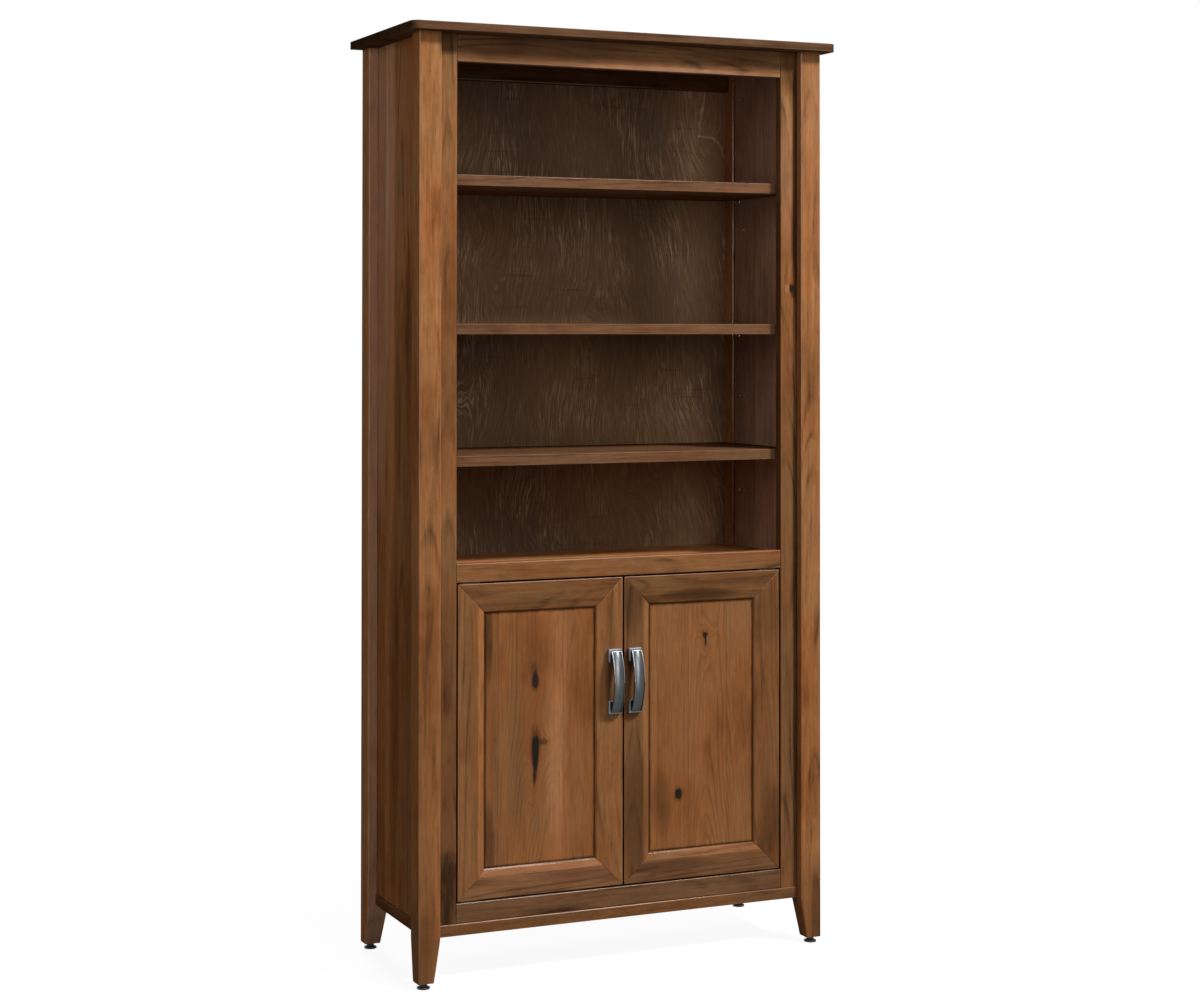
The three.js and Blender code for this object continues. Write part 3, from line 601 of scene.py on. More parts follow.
def back_plywood(node):
    """Dark stained plywood with the wild pale figure of rotary-cut veneer, and painted light towards its
    right.
    """
    colours = bpy.context.scene.bookcase_colours
    finish = Finish(node + "_plywood")
    x, y, z = finish.coordinates()
    swirl = finish.noise(x * 2.6 + 4, y, z * 1.3)
    wander = finish.noise(x * 8, y, z * 4.5 + 9, detail=3.0)
    bent = x + (swirl - 0.5) * 0.22 + (wander - 0.5) * 0.045 + (z - 1.3) * x.step(-0.1, 0.3) * 0.16
    for eye in spots(PLYWOOD_EYES):
        from_x, from_z = x - eye.across, z - eye.along
        square = from_x * from_x / eye.half_width**2 + from_z * from_z / eye.half_length**2
        bent = bent + 0.022 * eye.depth / (square + 0.5)
    hair = finish.noise(bent * 620, y, z * 24 + wander * 3, roughness=0.7)
    thread = finish.noise(bent * 170 + 3, y, z * 9, detail=3.0, roughness=0.7)
    jag = finish.noise(x * 70, y, z * 70)
    contour = (bent * 46 + wander * 1.6 + (jag - 0.5) * 0.35).fraction()
    line = finish.ramp(contour, (0.0, 0.0), (0.46, 0.0), (0.50, 1.0), (0.53, 0.0), (1.0, 0.0))
    cloud = finish.noise(x * 7, y, z * 6, detail=3.0, roughness=0.6)
    haze = finish.noise(x * 3.1 + 6, y, z * 2.2, detail=1.0)
    ripple = finish.noise(x * 5 + 2, y, z * 150)
    strong = finish.noise(x * 10, y, z * 6 + 2).step(0.42, 0.64)
    cool = ((haze - 0.5) * 2.6 + (cloud - 0.5) * 1.6 + 0.5 - x * 0.9).share()
    ground = finish.blend(cool, colours.plywood, colours.plywood_cool)
    pale = hair.step(0.52, 0.66) * (0.14 + strong * 0.62) + thread.step(0.54, 0.70) * strong * 0.42
    pale = pale + line * strong * 0.54 + crack_line(x, z, jag)
    toned = finish.blend(pale.at_most(1.0), ground, colours.plywood_pale)
    tone = hair * 0.70 + cloud * 0.92 + thread * 0.30 - ripple.step(0.58, 0.80) * strong * 0.30 - 0.10
    # Painted light on the right of the back, where light from the left reaches in, and painted shade at its
    # far left; the back is also lighter higher up
    painted_light_sideways = 1 + x.step(0.16, 0.37) * 0.45 - x.step(-0.20, -0.36) * 0.10
    upwards = 0.86 + z.step(0.92, 1.02) * 0.14 + z.step(1.25, 1.6) * 0.12
    toned = finish.scaled(toned, tone * painted_light_sideways * upwards)
    roughness, height = 0.44 + hair * 0.16, hair * 0.6 + line * 0.3
    return finish.surface(toned, roughness, height, relief=0.05 * MM, others=LACQUER)


# Metal and plastic

def brushed_metal(name, colour, roughness, rubbed=None):
    """Plated metal with fine brush marks and faint clouding, paler where its edges are polished bright and
    where painted highlights are marked, and darker where painted shade is marked.
    """
    finish = Finish(name)
    x, y, z = finish.coordinates()
    marks = finish.noise(x * 2600, y * 2600, z * 180)
    cloud = finish.noise(x * 60, y * 60, z * 60, detail=3.0)
    # On the handles the arris mark brings polish and painted highlights, and the other mark painted shade
    arris, dim = finish.mark("arris"), finish.mark("dim")
    toned = finish.blend(arris * (0.35 + cloud * 0.65), colour, rubbed or colour)
    toned = finish.scaled(toned, (0.82 + cloud * 0.36) * (1 - dim * 0.62))
    rough = roughness + (marks - 0.5) * 0.08 + (cloud - 0.5) * 0.08 + arris * 0.10
    metallic = 1 - arris * 0.55 if rubbed else 1.0
    return finish.surface(toned, rough, marks, relief=0.002 * MM, others={"Metallic": metallic})


def moulded_plastic(name, colour):
    """Matt moulded plastic with a fine grain."""
    finish = Finish(name)
    x, y, z = finish.coordinates()
    speck = finish.noise(x * 900, y * 900, z * 900)
    cloud = finish.noise(x * 90, y * 90, z * 90)
    toned = finish.scaled((*colour,), 0.8 + cloud * 0.4)
    return finish.surface(toned, 0.48 + speck * 0.14, speck, relief=0.03 * MM)


# The colour, the roughness and the colour of the edges, polished bright and given painted highlights, of each
# metal
METALS = {
    "pewter": ("pewter", 0.30, "pewter_rubbed_and_highlit"),
    "steel": ("nickel", 0.26, None),
    "hinge_bronze": ("bronze", 0.42, None),
}


def shared_finish(kind):
    """The finish of a metal, or of the black plastic, made once."""
    colours = bpy.context.scene.bookcase_colours
    name = kind + "_finish"
    made = bpy.data.materials.get(name)
    if made:
        return made
    if kind == "glide_black":
        return moulded_plastic(name, colours.black)
    colour, roughness, rubbed = METALS[kind]
    return brushed_metal(name, getattr(colours, colour), roughness, rubbed and getattr(colours, rubbed))


# Shapes

# Angles between two faces that count as flat, soft, sharp, folded and steep
FLAT, SOFT, SHARP, FOLDED, STEEP = (math.radians(angle) for angle in (1, 10, 20, 30, 60))
# How much of an axis a face's normal holds when the face is square to it, looks along it or leans to it
SQUARE, LOOKING, LEANING = 0.93, 0.9, 0.2
MERGE = 0.002 * MM


def merged_copy(node):
    """A node's own shape, with its loose triangles merged and its flat faces made whole."""
    shape = bmesh.new()
    shape.from_mesh(frame["nodes"][node].data)
    bmesh.ops.remove_doubles(shape, verts=shape.verts, dist=MERGE)
    bmesh.ops.dissolve_limit(shape, angle_limit=FLAT, verts=shape.verts, edges=shape.edges)
    return shape


def round_edges(shape, edges, radius, segments):
    """Rounds some edges and returns the new faces."""
    rounded = bmesh.ops.bevel(
        shape, geom=edges, offset=radius, offset_type="OFFSET", affect="EDGES", segments=segments,
        profile=0.5, clamp_overlap=True, material=-1,
    )
    return rounded["faces"]


def edges_between(shape, low, high):
    """The outward edges whose faces turn by an angle between two limits."""
    return [edge for edge in shape.edges if edge.is_convex and low < edge.calc_face_angle() <= high]


def box_of(corner, opposite):
    """A block between two corners."""
    shape = bmesh.new()
    corner, opposite = Vector(corner), Vector(opposite)
    bmesh.ops.create_cube(shape, size=1.0)
    bmesh.ops.scale(shape, vec=opposite - corner, verts=shape.verts)
    bmesh.ops.translate(shape, vec=(corner + opposite) / 2, verts=shape.verts)
    bmesh.ops.recalc_face_normals(shape, faces=shape.faces)
    return shape


def turned(profile, centre, axis, steps=40):
    """A piece turned from a profile of (radius, place along the axis), round an axis through a centre."""
    shape = bmesh.new()
    axis = Vector(axis)
    side = axis.orthogonal().normalized()
    points = [shape.verts.new(Vector(centre) + side * radius + axis * run) for radius, run in profile]
    for first, second in zip(points, points[1:]):
        shape.edges.new((first, second))
    geometry = [*shape.verts, *shape.edges]
    bmesh.ops.spin(shape, geom=geometry, cent=centre, axis=axis, angle=math.tau, steps=steps, use_merge=True)
    bmesh.ops.remove_doubles(shape, verts=shape.verts, dist=MERGE)
    bmesh.ops.recalc_face_normals(shape, faces=shape.faces)
    return shape


def joined(shapes):
    """Several shapes in one."""
    whole = bmesh.new()
    for shape in shapes:
        mesh = bpy.data.meshes.new("part")
        shape.to_mesh(mesh)
        shape.free()
        whole.from_mesh(mesh)
        bpy.data.meshes.remove(mesh)
    return whole


def add_piece(name, shape, material, body, replaced=(), smooth=None):
    """Makes an object of a shape, at the origin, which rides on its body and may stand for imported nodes."""
    mesh = bpy.data.meshes.new(name)
    shape.to_mesh(mesh)
    shape.free()
    mesh.materials.append(material)
    if smooth is not None:
        mesh.shade_smooth()
        mesh.set_sharp_from_angle(angle=smooth)
    piece = bpy.data.objects.new(name, mesh)
    bpy.context.scene.collection.objects.link(piece)
    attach(piece, body)
    if replaced:
        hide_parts(*replaced)


def stand_for(node, suffix, shape, material, smooth=None):
    """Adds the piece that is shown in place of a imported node."""
    add_piece(node + suffix, shape, material, BODY_OF[node], [node], smooth)


def add_hardware(name, shapes, body, finish="steel"):
    """Adds small metal parts as one piece."""
    add_piece(name, joined(shapes), shared_finish(finish), body, smooth=SHARP)


def dress_board(node, finish=stained_wood, suffix="_wood", radius=None, mark=None):
    """Replaces a wooden node by its own shape with rounded edges, which the finish shows lighter, as wear and
    as a painted highlight.
    """
    sizes = bpy.context.scene.bookcase_sizes
    shape = merged_copy(node)
    wear_and_highlight = shape.faces.layers.float.new("arris")
    soft = edges_between(shape, SOFT, SHARP)
    if soft:
        round_edges(shape, soft, sizes.soft_arris, sizes.arris_segments)
    sharp = edges_between(shape, SHARP, math.pi)
    for face in round_edges(shape, sharp, radius or sizes.arris, sizes.arris_segments):
        face[wear_and_highlight] = 1.0
    grain = Grain(node)
    end_grain = shape.faces.layers.float.new("end_grain")
    for face in shape.faces:
        if max(abs(part) for part in face.normal) < SQUARE:
            face[wear_and_highlight] = 1.0
        if abs(face.normal[grain.along]) > SQUARE:
            face[end_grain] = 1.0
    if mark:
        mark(shape, node)
    stand_for(node, suffix, shape, finish(node))


def dress_metal(node, radius=0.25 * MM, finish=None):
    """Replaces a metal or plastic node by its own shape with eased edges."""
    shape = merged_copy(node)
    round_edges(shape, edges_between(shape, FOLDED, math.pi), radius, 2)
    stand_for(node, "_finished", shape, shared_finish(finish or SLOT_OF[node]), FOLDED)


# A screw head's top and the halves of its recess in width and length, as shares of its radius, and how
# deep the recess goes, as a share of its height
HEAD_TOP, RECESS_WIDTH, RECESS_LENGTH, RECESS_DEPTH = 0.86, 0.13, 0.6, 0.5


def screw_head(centre, axis, radius, height, sunk):
    """A screw head with a cross recess, facing along an axis."""
    shape = bmesh.new()
    bmesh.ops.create_cone(
        shape, cap_ends=True, segments=28, radius1=radius, radius2=radius * HEAD_TOP, depth=height + sunk
    )
    bmesh.ops.translate(shape, vec=(0, 0, (height - sunk) / 2), verts=shape.verts)
    slot, reach = radius * RECESS_WIDTH, radius * RECESS_LENGTH
    for limit in (slot, reach):
        for normal in ((1, 0, 0), (-1, 0, 0), (0, 1, 0), (0, -1, 0)):
            geometry = [*shape.verts, *shape.edges, *shape.faces]
            bmesh.ops.bisect_plane(shape, geom=geometry, plane_co=Vector(normal) * limit, plane_no=normal)
    recess = []
    for face in shape.faces:
        x, y, z = face.calc_center_median()
        across, along = sorted((abs(x), abs(y)))
        if face.normal.z > LOOKING and across < slot and along < reach:
            recess.append(face)
    pushed = bmesh.ops.extrude_face_region(shape, geom=recess)["geom"]
    bmesh.ops.delete(shape, geom=recess, context="FACES_ONLY")
    lowered = [item for item in pushed if isinstance(item, bmesh.types.BMVert)]
    bmesh.ops.translate(shape, vec=(0, 0, -RECESS_DEPTH * (height + sunk)), verts=lowered)
    turn = Vector((0, 0, 1)).rotation_difference(Vector(axis)).to_matrix().to_4x4()
    bmesh.ops.transform(shape, matrix=Matrix.Translation(centre) @ turn, verts=shape.verts)
    bmesh.ops.recalc_face_normals(shape, faces=shape.faces)
    return shape


# Operators, one for each piece or group of like pieces

class BOOKCASE_OT_top_board(bpy.types.Operator):
    """Dress the top board: rounded front corners, eased edges and darker ends"""

    bl_idname = "bookcase.top_board"
    bl_label = "Top Board"

    corner_radius = 17.0 * MM
    corner_steps = 10

    def execute(self, context):
        node = "top_board"
        sizes = context.scene.bookcase_sizes
        shape = box_of(*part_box(node))
        corners = [
            edge for edge in shape.edges
            if abs((edge.verts[0].co - edge.verts[1].co).z) > 1 * MM and edge.verts[0].co.y < 0
        ]
        round_edges(shape, corners, self.corner_radius, self.corner_steps)
        rims = [edge for edge in shape.edges if edge.calc_face_angle() > STEEP]
        round_edges(shape, rims, sizes.arris, sizes.arris_segments)
        end_grain = shape.faces.layers.float.new("end_grain")
        for face in shape.faces:
            face[end_grain] = face.normal.x**2
        stand_for(node, "_wood", shape, stained_wood(node), FOLDED)
        return {"FINISHED"}


class BOOKCASE_OT_posts(bpy.types.Operator):
    """Dress the four tapered corner posts"""

    bl_idname = "bookcase.posts"
    bl_label = "Corner Posts"

    painted_paleness = 0.75

    def execute(self, context):
        for end in ENDS:
            for side in SIDES:
                dress_board(f"{end}_{side}_post", mark=self.mark_painted_pale_face)
        return {"FINISHED"}

    def mark_painted_pale_face(self, shape, node):
        """Marks the face of the rear left post beside the side panel with painted light, which makes it paler
        where the cabinet shades it.
        """
        if node != "rear_left_post":
            return
        pale = shape.faces.layers.float.new("pale")
        for face in shape.faces:
            if face.normal.y < -LOOKING:
                face[pale] = self.painted_paleness


class BOOKCASE_OT_glides(bpy.types.Operator):
    """Turn the four levelling glides: a disc foot under a domed collar and a hexagon"""

    bl_idname = "bookcase.glides"
    bl_label = "Levelling Glides"

    # In millimetres: the foot's radii and heights, and the hexagon's radius, lower and upper end
    foot = (
        (0.0, 0.0), (11.4, 0.0), (12.2, 0.3), (12.7, 1.0), (12.7, 2.6), (12.3, 3.3), (11.4, 3.7),
        (9.4, 4.3), (8.0, 5.4), (7.2, 7.0), (6.9, 8.2), (6.4, 8.8), (4.0, 8.9), (4.0, 37.6),
        (3.4, 38.0), (0.0, 38.0),
    )
    hexagon = (7.4, 8.4, 11.7)
    hexagon_ease = 0.4 * MM
    smooth_angle = math.radians(32)

    def execute(self, context):
        for end in ENDS:
            for side in SIDES:
                self.turn_glide(f"{end}_{side}_glide")
        return {"FINISHED"}

    def turn_glide(self, node):
        centre = middle(node)
        centre.z = 0.0
        profile = [(radius * MM, height * MM) for radius, height in self.foot]
        foot = turned(profile, centre, (0, 0, 1))
        radius, low, high = (size * MM for size in self.hexagon)
        hexagon = bmesh.new()
        bmesh.ops.create_cone(
            hexagon, cap_ends=True, segments=6, radius1=radius, radius2=radius, depth=high - low
        )
        place = centre + Vector((0, 0, (low + high) / 2))
        bmesh.ops.translate(hexagon, vec=place, verts=hexagon.verts)
        round_edges(hexagon, hexagon.edges[:], self.hexagon_ease, 2)
        material = shared_finish(SLOT_OF[node])
        stand_for(node, "_plastic", joined([foot, hexagon]), material, self.smooth_angle)


class BOOKCASE_OT_face_frame(bpy.types.Operator):
    """Dress the face frame: two stiles and three rails with their tenons"""

    bl_idname = "bookcase.face_frame"
    bl_label = "Face Frame"

    # The axis and the direction in which a member looks into the gap round the doors
    inward = {"left_stile": (0, 1), "right_stile": (0, -1), "middle_rail": (2, -1), "bottom_rail": (2, 1)}

    def execute(self, context):
        for node in ("left_stile", "right_stile", "top_rail", "middle_rail", "bottom_rail"):
            dress_board(node, mark=self.mark_opening)
        return {"FINISHED"}

    def mark_opening(self, shape, node):
        """Marks the faces that look into the gap round the doors, where little light comes, with painted
        shade, and gives the bottom rail's rounded top edges a stronger painted highlight.
        """
        if node not in self.inward:
            return
        axis, sign = self.inward[node]
        wear_and_highlight = shape.faces.layers.float["arris"]
        gap = shape.faces.layers.float.new("gap")
        for face in shape.faces:
            turn = face.normal[axis] * sign
            if turn > LOOKING or (turn > LEANING and node != "bottom_rail"):
                face[gap] = 0.6
                face[wear_and_highlight] = 0.0
            elif turn > LEANING:
                face[wear_and_highlight] = 1.6


class BOOKCASE_OT_skirts(bpy.types.Operator):
    """Dress the skirts under the face frame and the sides"""

    bl_idname = "bookcase.skirts"
    bl_label = "Skirts"

    def execute(self, context):
        for node in ("front_skirt", "left_skirt", "right_skirt"):
            dress_board(node)
        return {"FINISHED"}


class BOOKCASE_OT_decks(bpy.types.Operator):
    """Dress the two decks and the fixed shelf of the cabinet"""

    bl_idname = "bookcase.decks"
    bl_label = "Decks and Cabinet Shelf"

    def execute(self, context):
        for node in ("upper_deck", "lower_deck", "cabinet_shelf"):
            dress_board(node)
        return {"FINISHED"}


class BOOKCASE_OT_shelves(bpy.types.Operator):
    """Dress the three adjustable shelves"""

    bl_idname = "bookcase.shelves"
    bl_label = "Adjustable Shelves"

    def execute(self, context):
        for shelf in SHELVES:
            dress_board(shelf + "_shelf")
        return {"FINISHED"}


class BOOKCASE_OT_shelf_pins(bpy.types.Operator):
    """Dress the shelf pins"""

    bl_idname = "bookcase.shelf_pins"
    bl_label = "Shelf Pins"

    def execute(self, context):
        for shelf in SHELVES:
            for end in ENDS:
                for side in SIDES:
                    dress_metal(f"{shelf}_{end}_{side}_pin")
        return {"FINISHED"}


class BOOKCASE_OT_sides(bpy.types.Operator):
    """Dress the glued-up side panels and line their spare pin holes with metal sleeves"""

    bl_idname = "bookcase.sides"
    bl_label = "Side Panels and Sleeves"

    # The spare holes' places in millimetres, up and to the rear, and the sleeves' sizes
    heights = (903.0, 1105.0, 1461.0, 1739.0)
    rows = (-99.65, -81.15, 102.55, 121.05)
    bore, wall, length, ease = 2.35 * MM, 2.85 * MM, 8.5 * MM, 0.3 * MM

    def execute(self, context):
        for side, sign in SIDES.items():
            dress_board(side + "_side_panel")
            self.line_holes(context.scene.bookcase_sizes, side, sign)
        return {"FINISHED"}

    def line_holes(self, sizes, side, sign):
        low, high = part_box(side + "_side_panel")
        inner_x = low.x if sign > 0 else high.x
        rim, proud = sizes.sleeve_radius, sizes.sleeve_proud
        bore, wall, length, ease = self.bore, self.wall, self.length, self.ease
        profile = [
            (bore, -length), (bore, 0.6 * proud), (bore + ease, proud), (rim - ease, proud),
            (rim, 0.5 * proud), (rim, 0.0), (wall, 0.0), (wall, -length), (bore, -length),
        ]
        sleeves = [
            turned(profile, (inner_x, row * MM, height * MM), (-sign, 0, 0), 24)
            for height in self.heights
            for row in self.rows
        ]
        add_hardware(side + "_sleeves", sleeves, BODY_OF[side + "_side_panel"])


class BOOKCASE_OT_back(bpy.types.Operator):
    """Dress the plywood back and the rail across its top"""

    bl_idname = "bookcase.back"
    bl_label = "Back"

    def execute(self, context):
        dress_board("back_panel", back_plywood, "_plywood")
        dress_board("back_top_rail")
        return {"FINISHED"}


class BOOKCASE_OT_hinges(bpy.types.Operator):
    """Dress the hinge leaves and add their screws"""

    bl_idname = "bookcase.hinges"
    bl_label = "Knife Hinges"

    screw_runs = (13.0 * MM, 27.0 * MM)
    leaf_thickness = 2.0 * MM
    screw_height, screw_sunk = 0.12 * MM, 1.2 * MM

    def execute(self, context):
        radius = context.scene.bookcase_sizes.screw_radius
        for side, sign in SIDES.items():
            for level, up in (("upper", 1), ("lower", -1)):
                self.dress_leaf(f"{side}_{level}_frame_leaf", sign, -up, radius)
                self.dress_leaf(f"{side}_door_{level}_leaf", sign, up, radius)
        return {"FINISHED"}

    def dress_leaf(self, node, sign, facing, radius):
        """Dresses a leaf and sets its screws in the face that is turned to the other leaf."""
        dress_metal(node, finish="hinge_bronze")
        low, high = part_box(node)
        half_width = (high.y - low.y) / 2
        pivot_x = high.x - half_width if sign > 0 else low.x + half_width
        level = low.z + self.leaf_thickness if facing > 0 else high.z - self.leaf_thickness
        places = [(pivot_x - sign * run, (low.y + high.y) / 2, level) for run in self.screw_runs]
        screws = [
            screw_head(place, (0, 0, facing), radius, self.screw_height, self.screw_sunk)
            for place in places
        ]
        add_hardware(node + "_screws", screws, BODY_OF[node], "hinge_bronze")


class BOOKCASE_OT_doors(bpy.types.Operator):
    """Dress the doors' mitred members, with soft slopes, and their knotty panels"""

    bl_idname = "bookcase.doors"
    bl_label = "Doors"

    # Painted light on each member's slope: how much paler it is made than its face, most where the slope
    # turns to the light
    slopes = {"left_stile": 0.20, "right_stile": 0.06, "top_rail": 0.08, "bottom_rail": 0.24}
    member_arris, panel_arris, edge_band = 1.1 * MM, 0.4 * MM, 1.0 * MM

    def execute(self, context):
        for side in SIDES:
            for member in self.slopes:
                dress_board(f"{side}_door_{member}", radius=self.member_arris, mark=self.mark_member)
            dress_board(f"{side}_door_panel", radius=self.panel_arris, mark=self.mark_panel)
        return {"FINISHED"}

    def mark_member(self, shape, node):
        """Marks a member's slope for painted light, its faces in the gap round the door for painted shade,
        and which of its edges shine, those turned up and, on the door's left edge, those turned left, with
        wear and a painted highlight.
        """
        door, member = node.split("_door_")
        low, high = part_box(f"{door}_door_left_stile")[0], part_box(f"{door}_door_right_stile")[1]
        wear_and_highlight = shape.faces.layers.float["arris"]
        slope = shape.faces.layers.float.new("slope")
        gap = shape.faces.layers.float.new("gap")
        for face in shape.faces:
            normal, centre = face.normal, face.calc_center_median()
            on_left = centre.x < low.x + self.edge_band
            outline = on_left or centre.x > high.x - self.edge_band
            outline = outline or centre.z < low.z + self.edge_band or centre.z > high.z - self.edge_band
            if 0.92 < -normal.y < 0.956:
                face[slope] = self.slopes[member]
            shining = normal.z > LEANING or (on_left and normal.x < -LEANING)
            if not shining:
                face[wear_and_highlight] = 0.0
            elif face[wear_and_highlight] and member.endswith("rail"):
                face[wear_and_highlight] = 1.5
            if outline and abs(normal.y) < (0.5 if shining else 0.98):
                face[gap] = 1.0

    @staticmethod
    def mark_panel(shape, node):
        """Clears the wear and painted highlight, because a panel's edges lie in the frame's grooves."""
        wear_and_highlight = shape.faces.layers.float["arris"]
        for face in shape.faces:
            face[wear_and_highlight] = 0.0


class BOOKCASE_OT_handles(bpy.types.Operator):
    """Build the bowed pewter handles on their square feet"""

    bl_idname = "bookcase.handles"
    bl_label = "Handles"

    bow_radius, bow_steps = 127.1 * MM, 80
    half_span = 61.2 * MM
    foot_height, foot_depth, foot_flare = 25.4 * MM, 9.8 * MM, 2.4 * MM
    ease, ease_steps = 1.1 * MM, 3
    # The strap's section in millimetres, with drops from its crown: its border, inward from its edge, and
    # its crown, outward from its middle
    border = ((1.2, -7.5), (0.0, -6.3), (0.0, -2.6), (0.5, -1.7), (1.6, -1.7), (2.1, -2.5))
    crown = ((8.3, -1.85), (7.2, -1.42), (5.9, -0.95), (4.5, -0.55), (3.0, -0.24), (1.5, -0.06))
    border_drop = 1.7 * MM
    # Shares of the bow beyond which its crown is level with its border, and beyond which it is polished
    # bright, with a painted highlight at the upper end
    level_beyond, rubbed_beyond = 0.966, 0.972
    # The crown's painted highlight: its place and half size across, and up as shares of the half span
    spot_across, spot_up = (-5.2 * MM, 2.8 * MM), (0.24, 0.34)
    bolt_head = {"radius": 4.2 * MM, "height": 1.9 * MM, "sunk": 1.0 * MM}
    smooth_angle = math.radians(24)

    def execute(self, context):
        for side in SIDES:
            node = f"{side}_door_handle"
            low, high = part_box(node)
            upper_foot = self.foot(low, high, high.z - self.foot_height, high.z)
            lower_foot = self.foot(low, high, low.z, low.z + self.foot_height)
            shape = joined([self.strap(low, high), upper_foot, lower_foot])
            stand_for(node, "_pewter", shape, shared_finish(SLOT_OF[node]), self.smooth_angle)
            self.add_bolts(side, node)
        return {"FINISHED"}

    def strap(self, low, high):
        """A crowned section between two borders, polished bright and given painted highlights towards the
        top, swept down along the bow.
        """
        half, outer = (high.x - low.x) / 2, self.bow_radius
        centre = Vector(((low.x + high.x) / 2, low.y + outer, (low.z + high.z) / 2))
        right = [(half - inward * MM, drop * MM) for inward, drop in self.border]
        right += [(outward * MM, drop * MM) for outward, drop in self.crown]
        section = [*right, (0.0, 0.0), *[(-x, drop) for x, drop in reversed(right)]]
        sweep = math.asin(self.half_span / outer)
        shape = bmesh.new()
        points = [shape.verts.new(centre + Vector((x, -(outer + drop), 0))) for x, drop in section]
        face = shape.faces.new(points)
        bmesh.ops.rotate(shape, cent=centre, matrix=Matrix.Rotation(sweep, 4, "X"), verts=shape.verts)
        geometry = [*shape.verts, *shape.edges, face]
        bmesh.ops.spin(
            shape, geom=geometry, cent=centre, axis=(1, 0, 0), angle=-2 * sweep, steps=self.bow_steps
        )
        self.level_ends(shape, centre, outer - self.border_drop, sweep)
        bmesh.ops.recalc_face_normals(shape, faces=shape.faces)
        rubbed, dim = self.mark_wear_and_painted_light(shape, centre, half, sweep)
        ends = edges_between(shape, STEEP, math.pi)
        # The rounded ends: the upper one polished bright with a painted highlight, the lower one in painted
        # shade
        for face in round_edges(shape, ends, self.ease, self.ease_steps):
            upper = face.calc_center_median().z > centre.z
            face[rubbed], face[dim] = (1.0, 0.0) if upper else (0.08, 0.6)
        return shape

    def level_ends(self, shape, centre, rim, sweep):
        """Lowers the crown to its border's level at both ends of the bow."""
        for point in shape.verts:
            arm = (point.co - centre) * Vector((0, 1, 1))
            if arm.length > rim and abs(arm.z) > math.sin(sweep * self.level_beyond) * arm.length:
                point.co -= arm * (1 - rim / arm.length)

    def mark_wear_and_painted_light(self, shape, centre, half, sweep):
        """Marks where hands rub the strap bright, with painted highlights on its borders, ends and crown, and
        painted shade where it is turned from the light.
        """
        rubbed = shape.faces.layers.float.new("arris")
        dim = shape.faces.layers.float.new("dim")
        for face in shape.faces:
            place = face.calc_center_median() - centre
            rise = place.z / self.half_span
            beside = half - 2.0 * MM < abs(place.x) < half - 0.1 * MM
            beyond = abs(place.z) > math.sin(sweep * self.rubbed_beyond) * self.bow_radius
            # The borders and ends are polished bright, with a painted highlight growing towards the top; the
            # crown gets a spot of painted highlight
            if beside or beyond:
                face[rubbed] = 0.04 + 0.66 * max(0.0, rise)
            elif face.normal.y < -0.5:
                aside = (place.x - self.spot_across[0]) / self.spot_across[1]
                above = (rise - self.spot_up[0]) / self.spot_up[1]
                face[rubbed] = 0.6 * math.exp(-squares(aside, above))
            # Painted shade, more on the right and lower down
            face[dim] = min(1.0, max(0.0, 0.28 + 0.32 * place.x / half - 0.55 * rise))
        return rubbed, dim

    def foot(self, low, high, bottom, top):
        left, right = low.x - self.foot_flare, high.x + self.foot_flare
        shape = box_of((left, high.y - self.foot_depth, bottom), (right, high.y, top))
        rubbed = shape.faces.layers.float.new("arris")
        rounded = round_edges(shape, shape.edges[:], self.ease, self.ease_steps)
        for face in shape.faces:
            # Painted highlights on the faces turned up and to the left, which are also polished bright; faces
            # turned down and the other flat faces stay dark
            upward, leftward = face.normal.z > LEANING, face.normal.x < -LEANING
            downward = face.normal.z < -LEANING or face not in rounded
            face[rubbed] = 1.0 if upward else 0.8 if leftward else 0.1 if downward else 0.4
        return shape

    def add_bolts(self, side, node):
        low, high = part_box(node)
        x, back = (low.x + high.x) / 2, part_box(f"{side}_door_left_stile")[1].y
        bolts = [
            screw_head((x, back, height), (0, 1, 0), **self.bolt_head)
            for height in (low.z + self.foot_height / 2, high.z - self.foot_height / 2)
        ]
        add_hardware(node + "_bolts", bolts, BODY_OF[node])


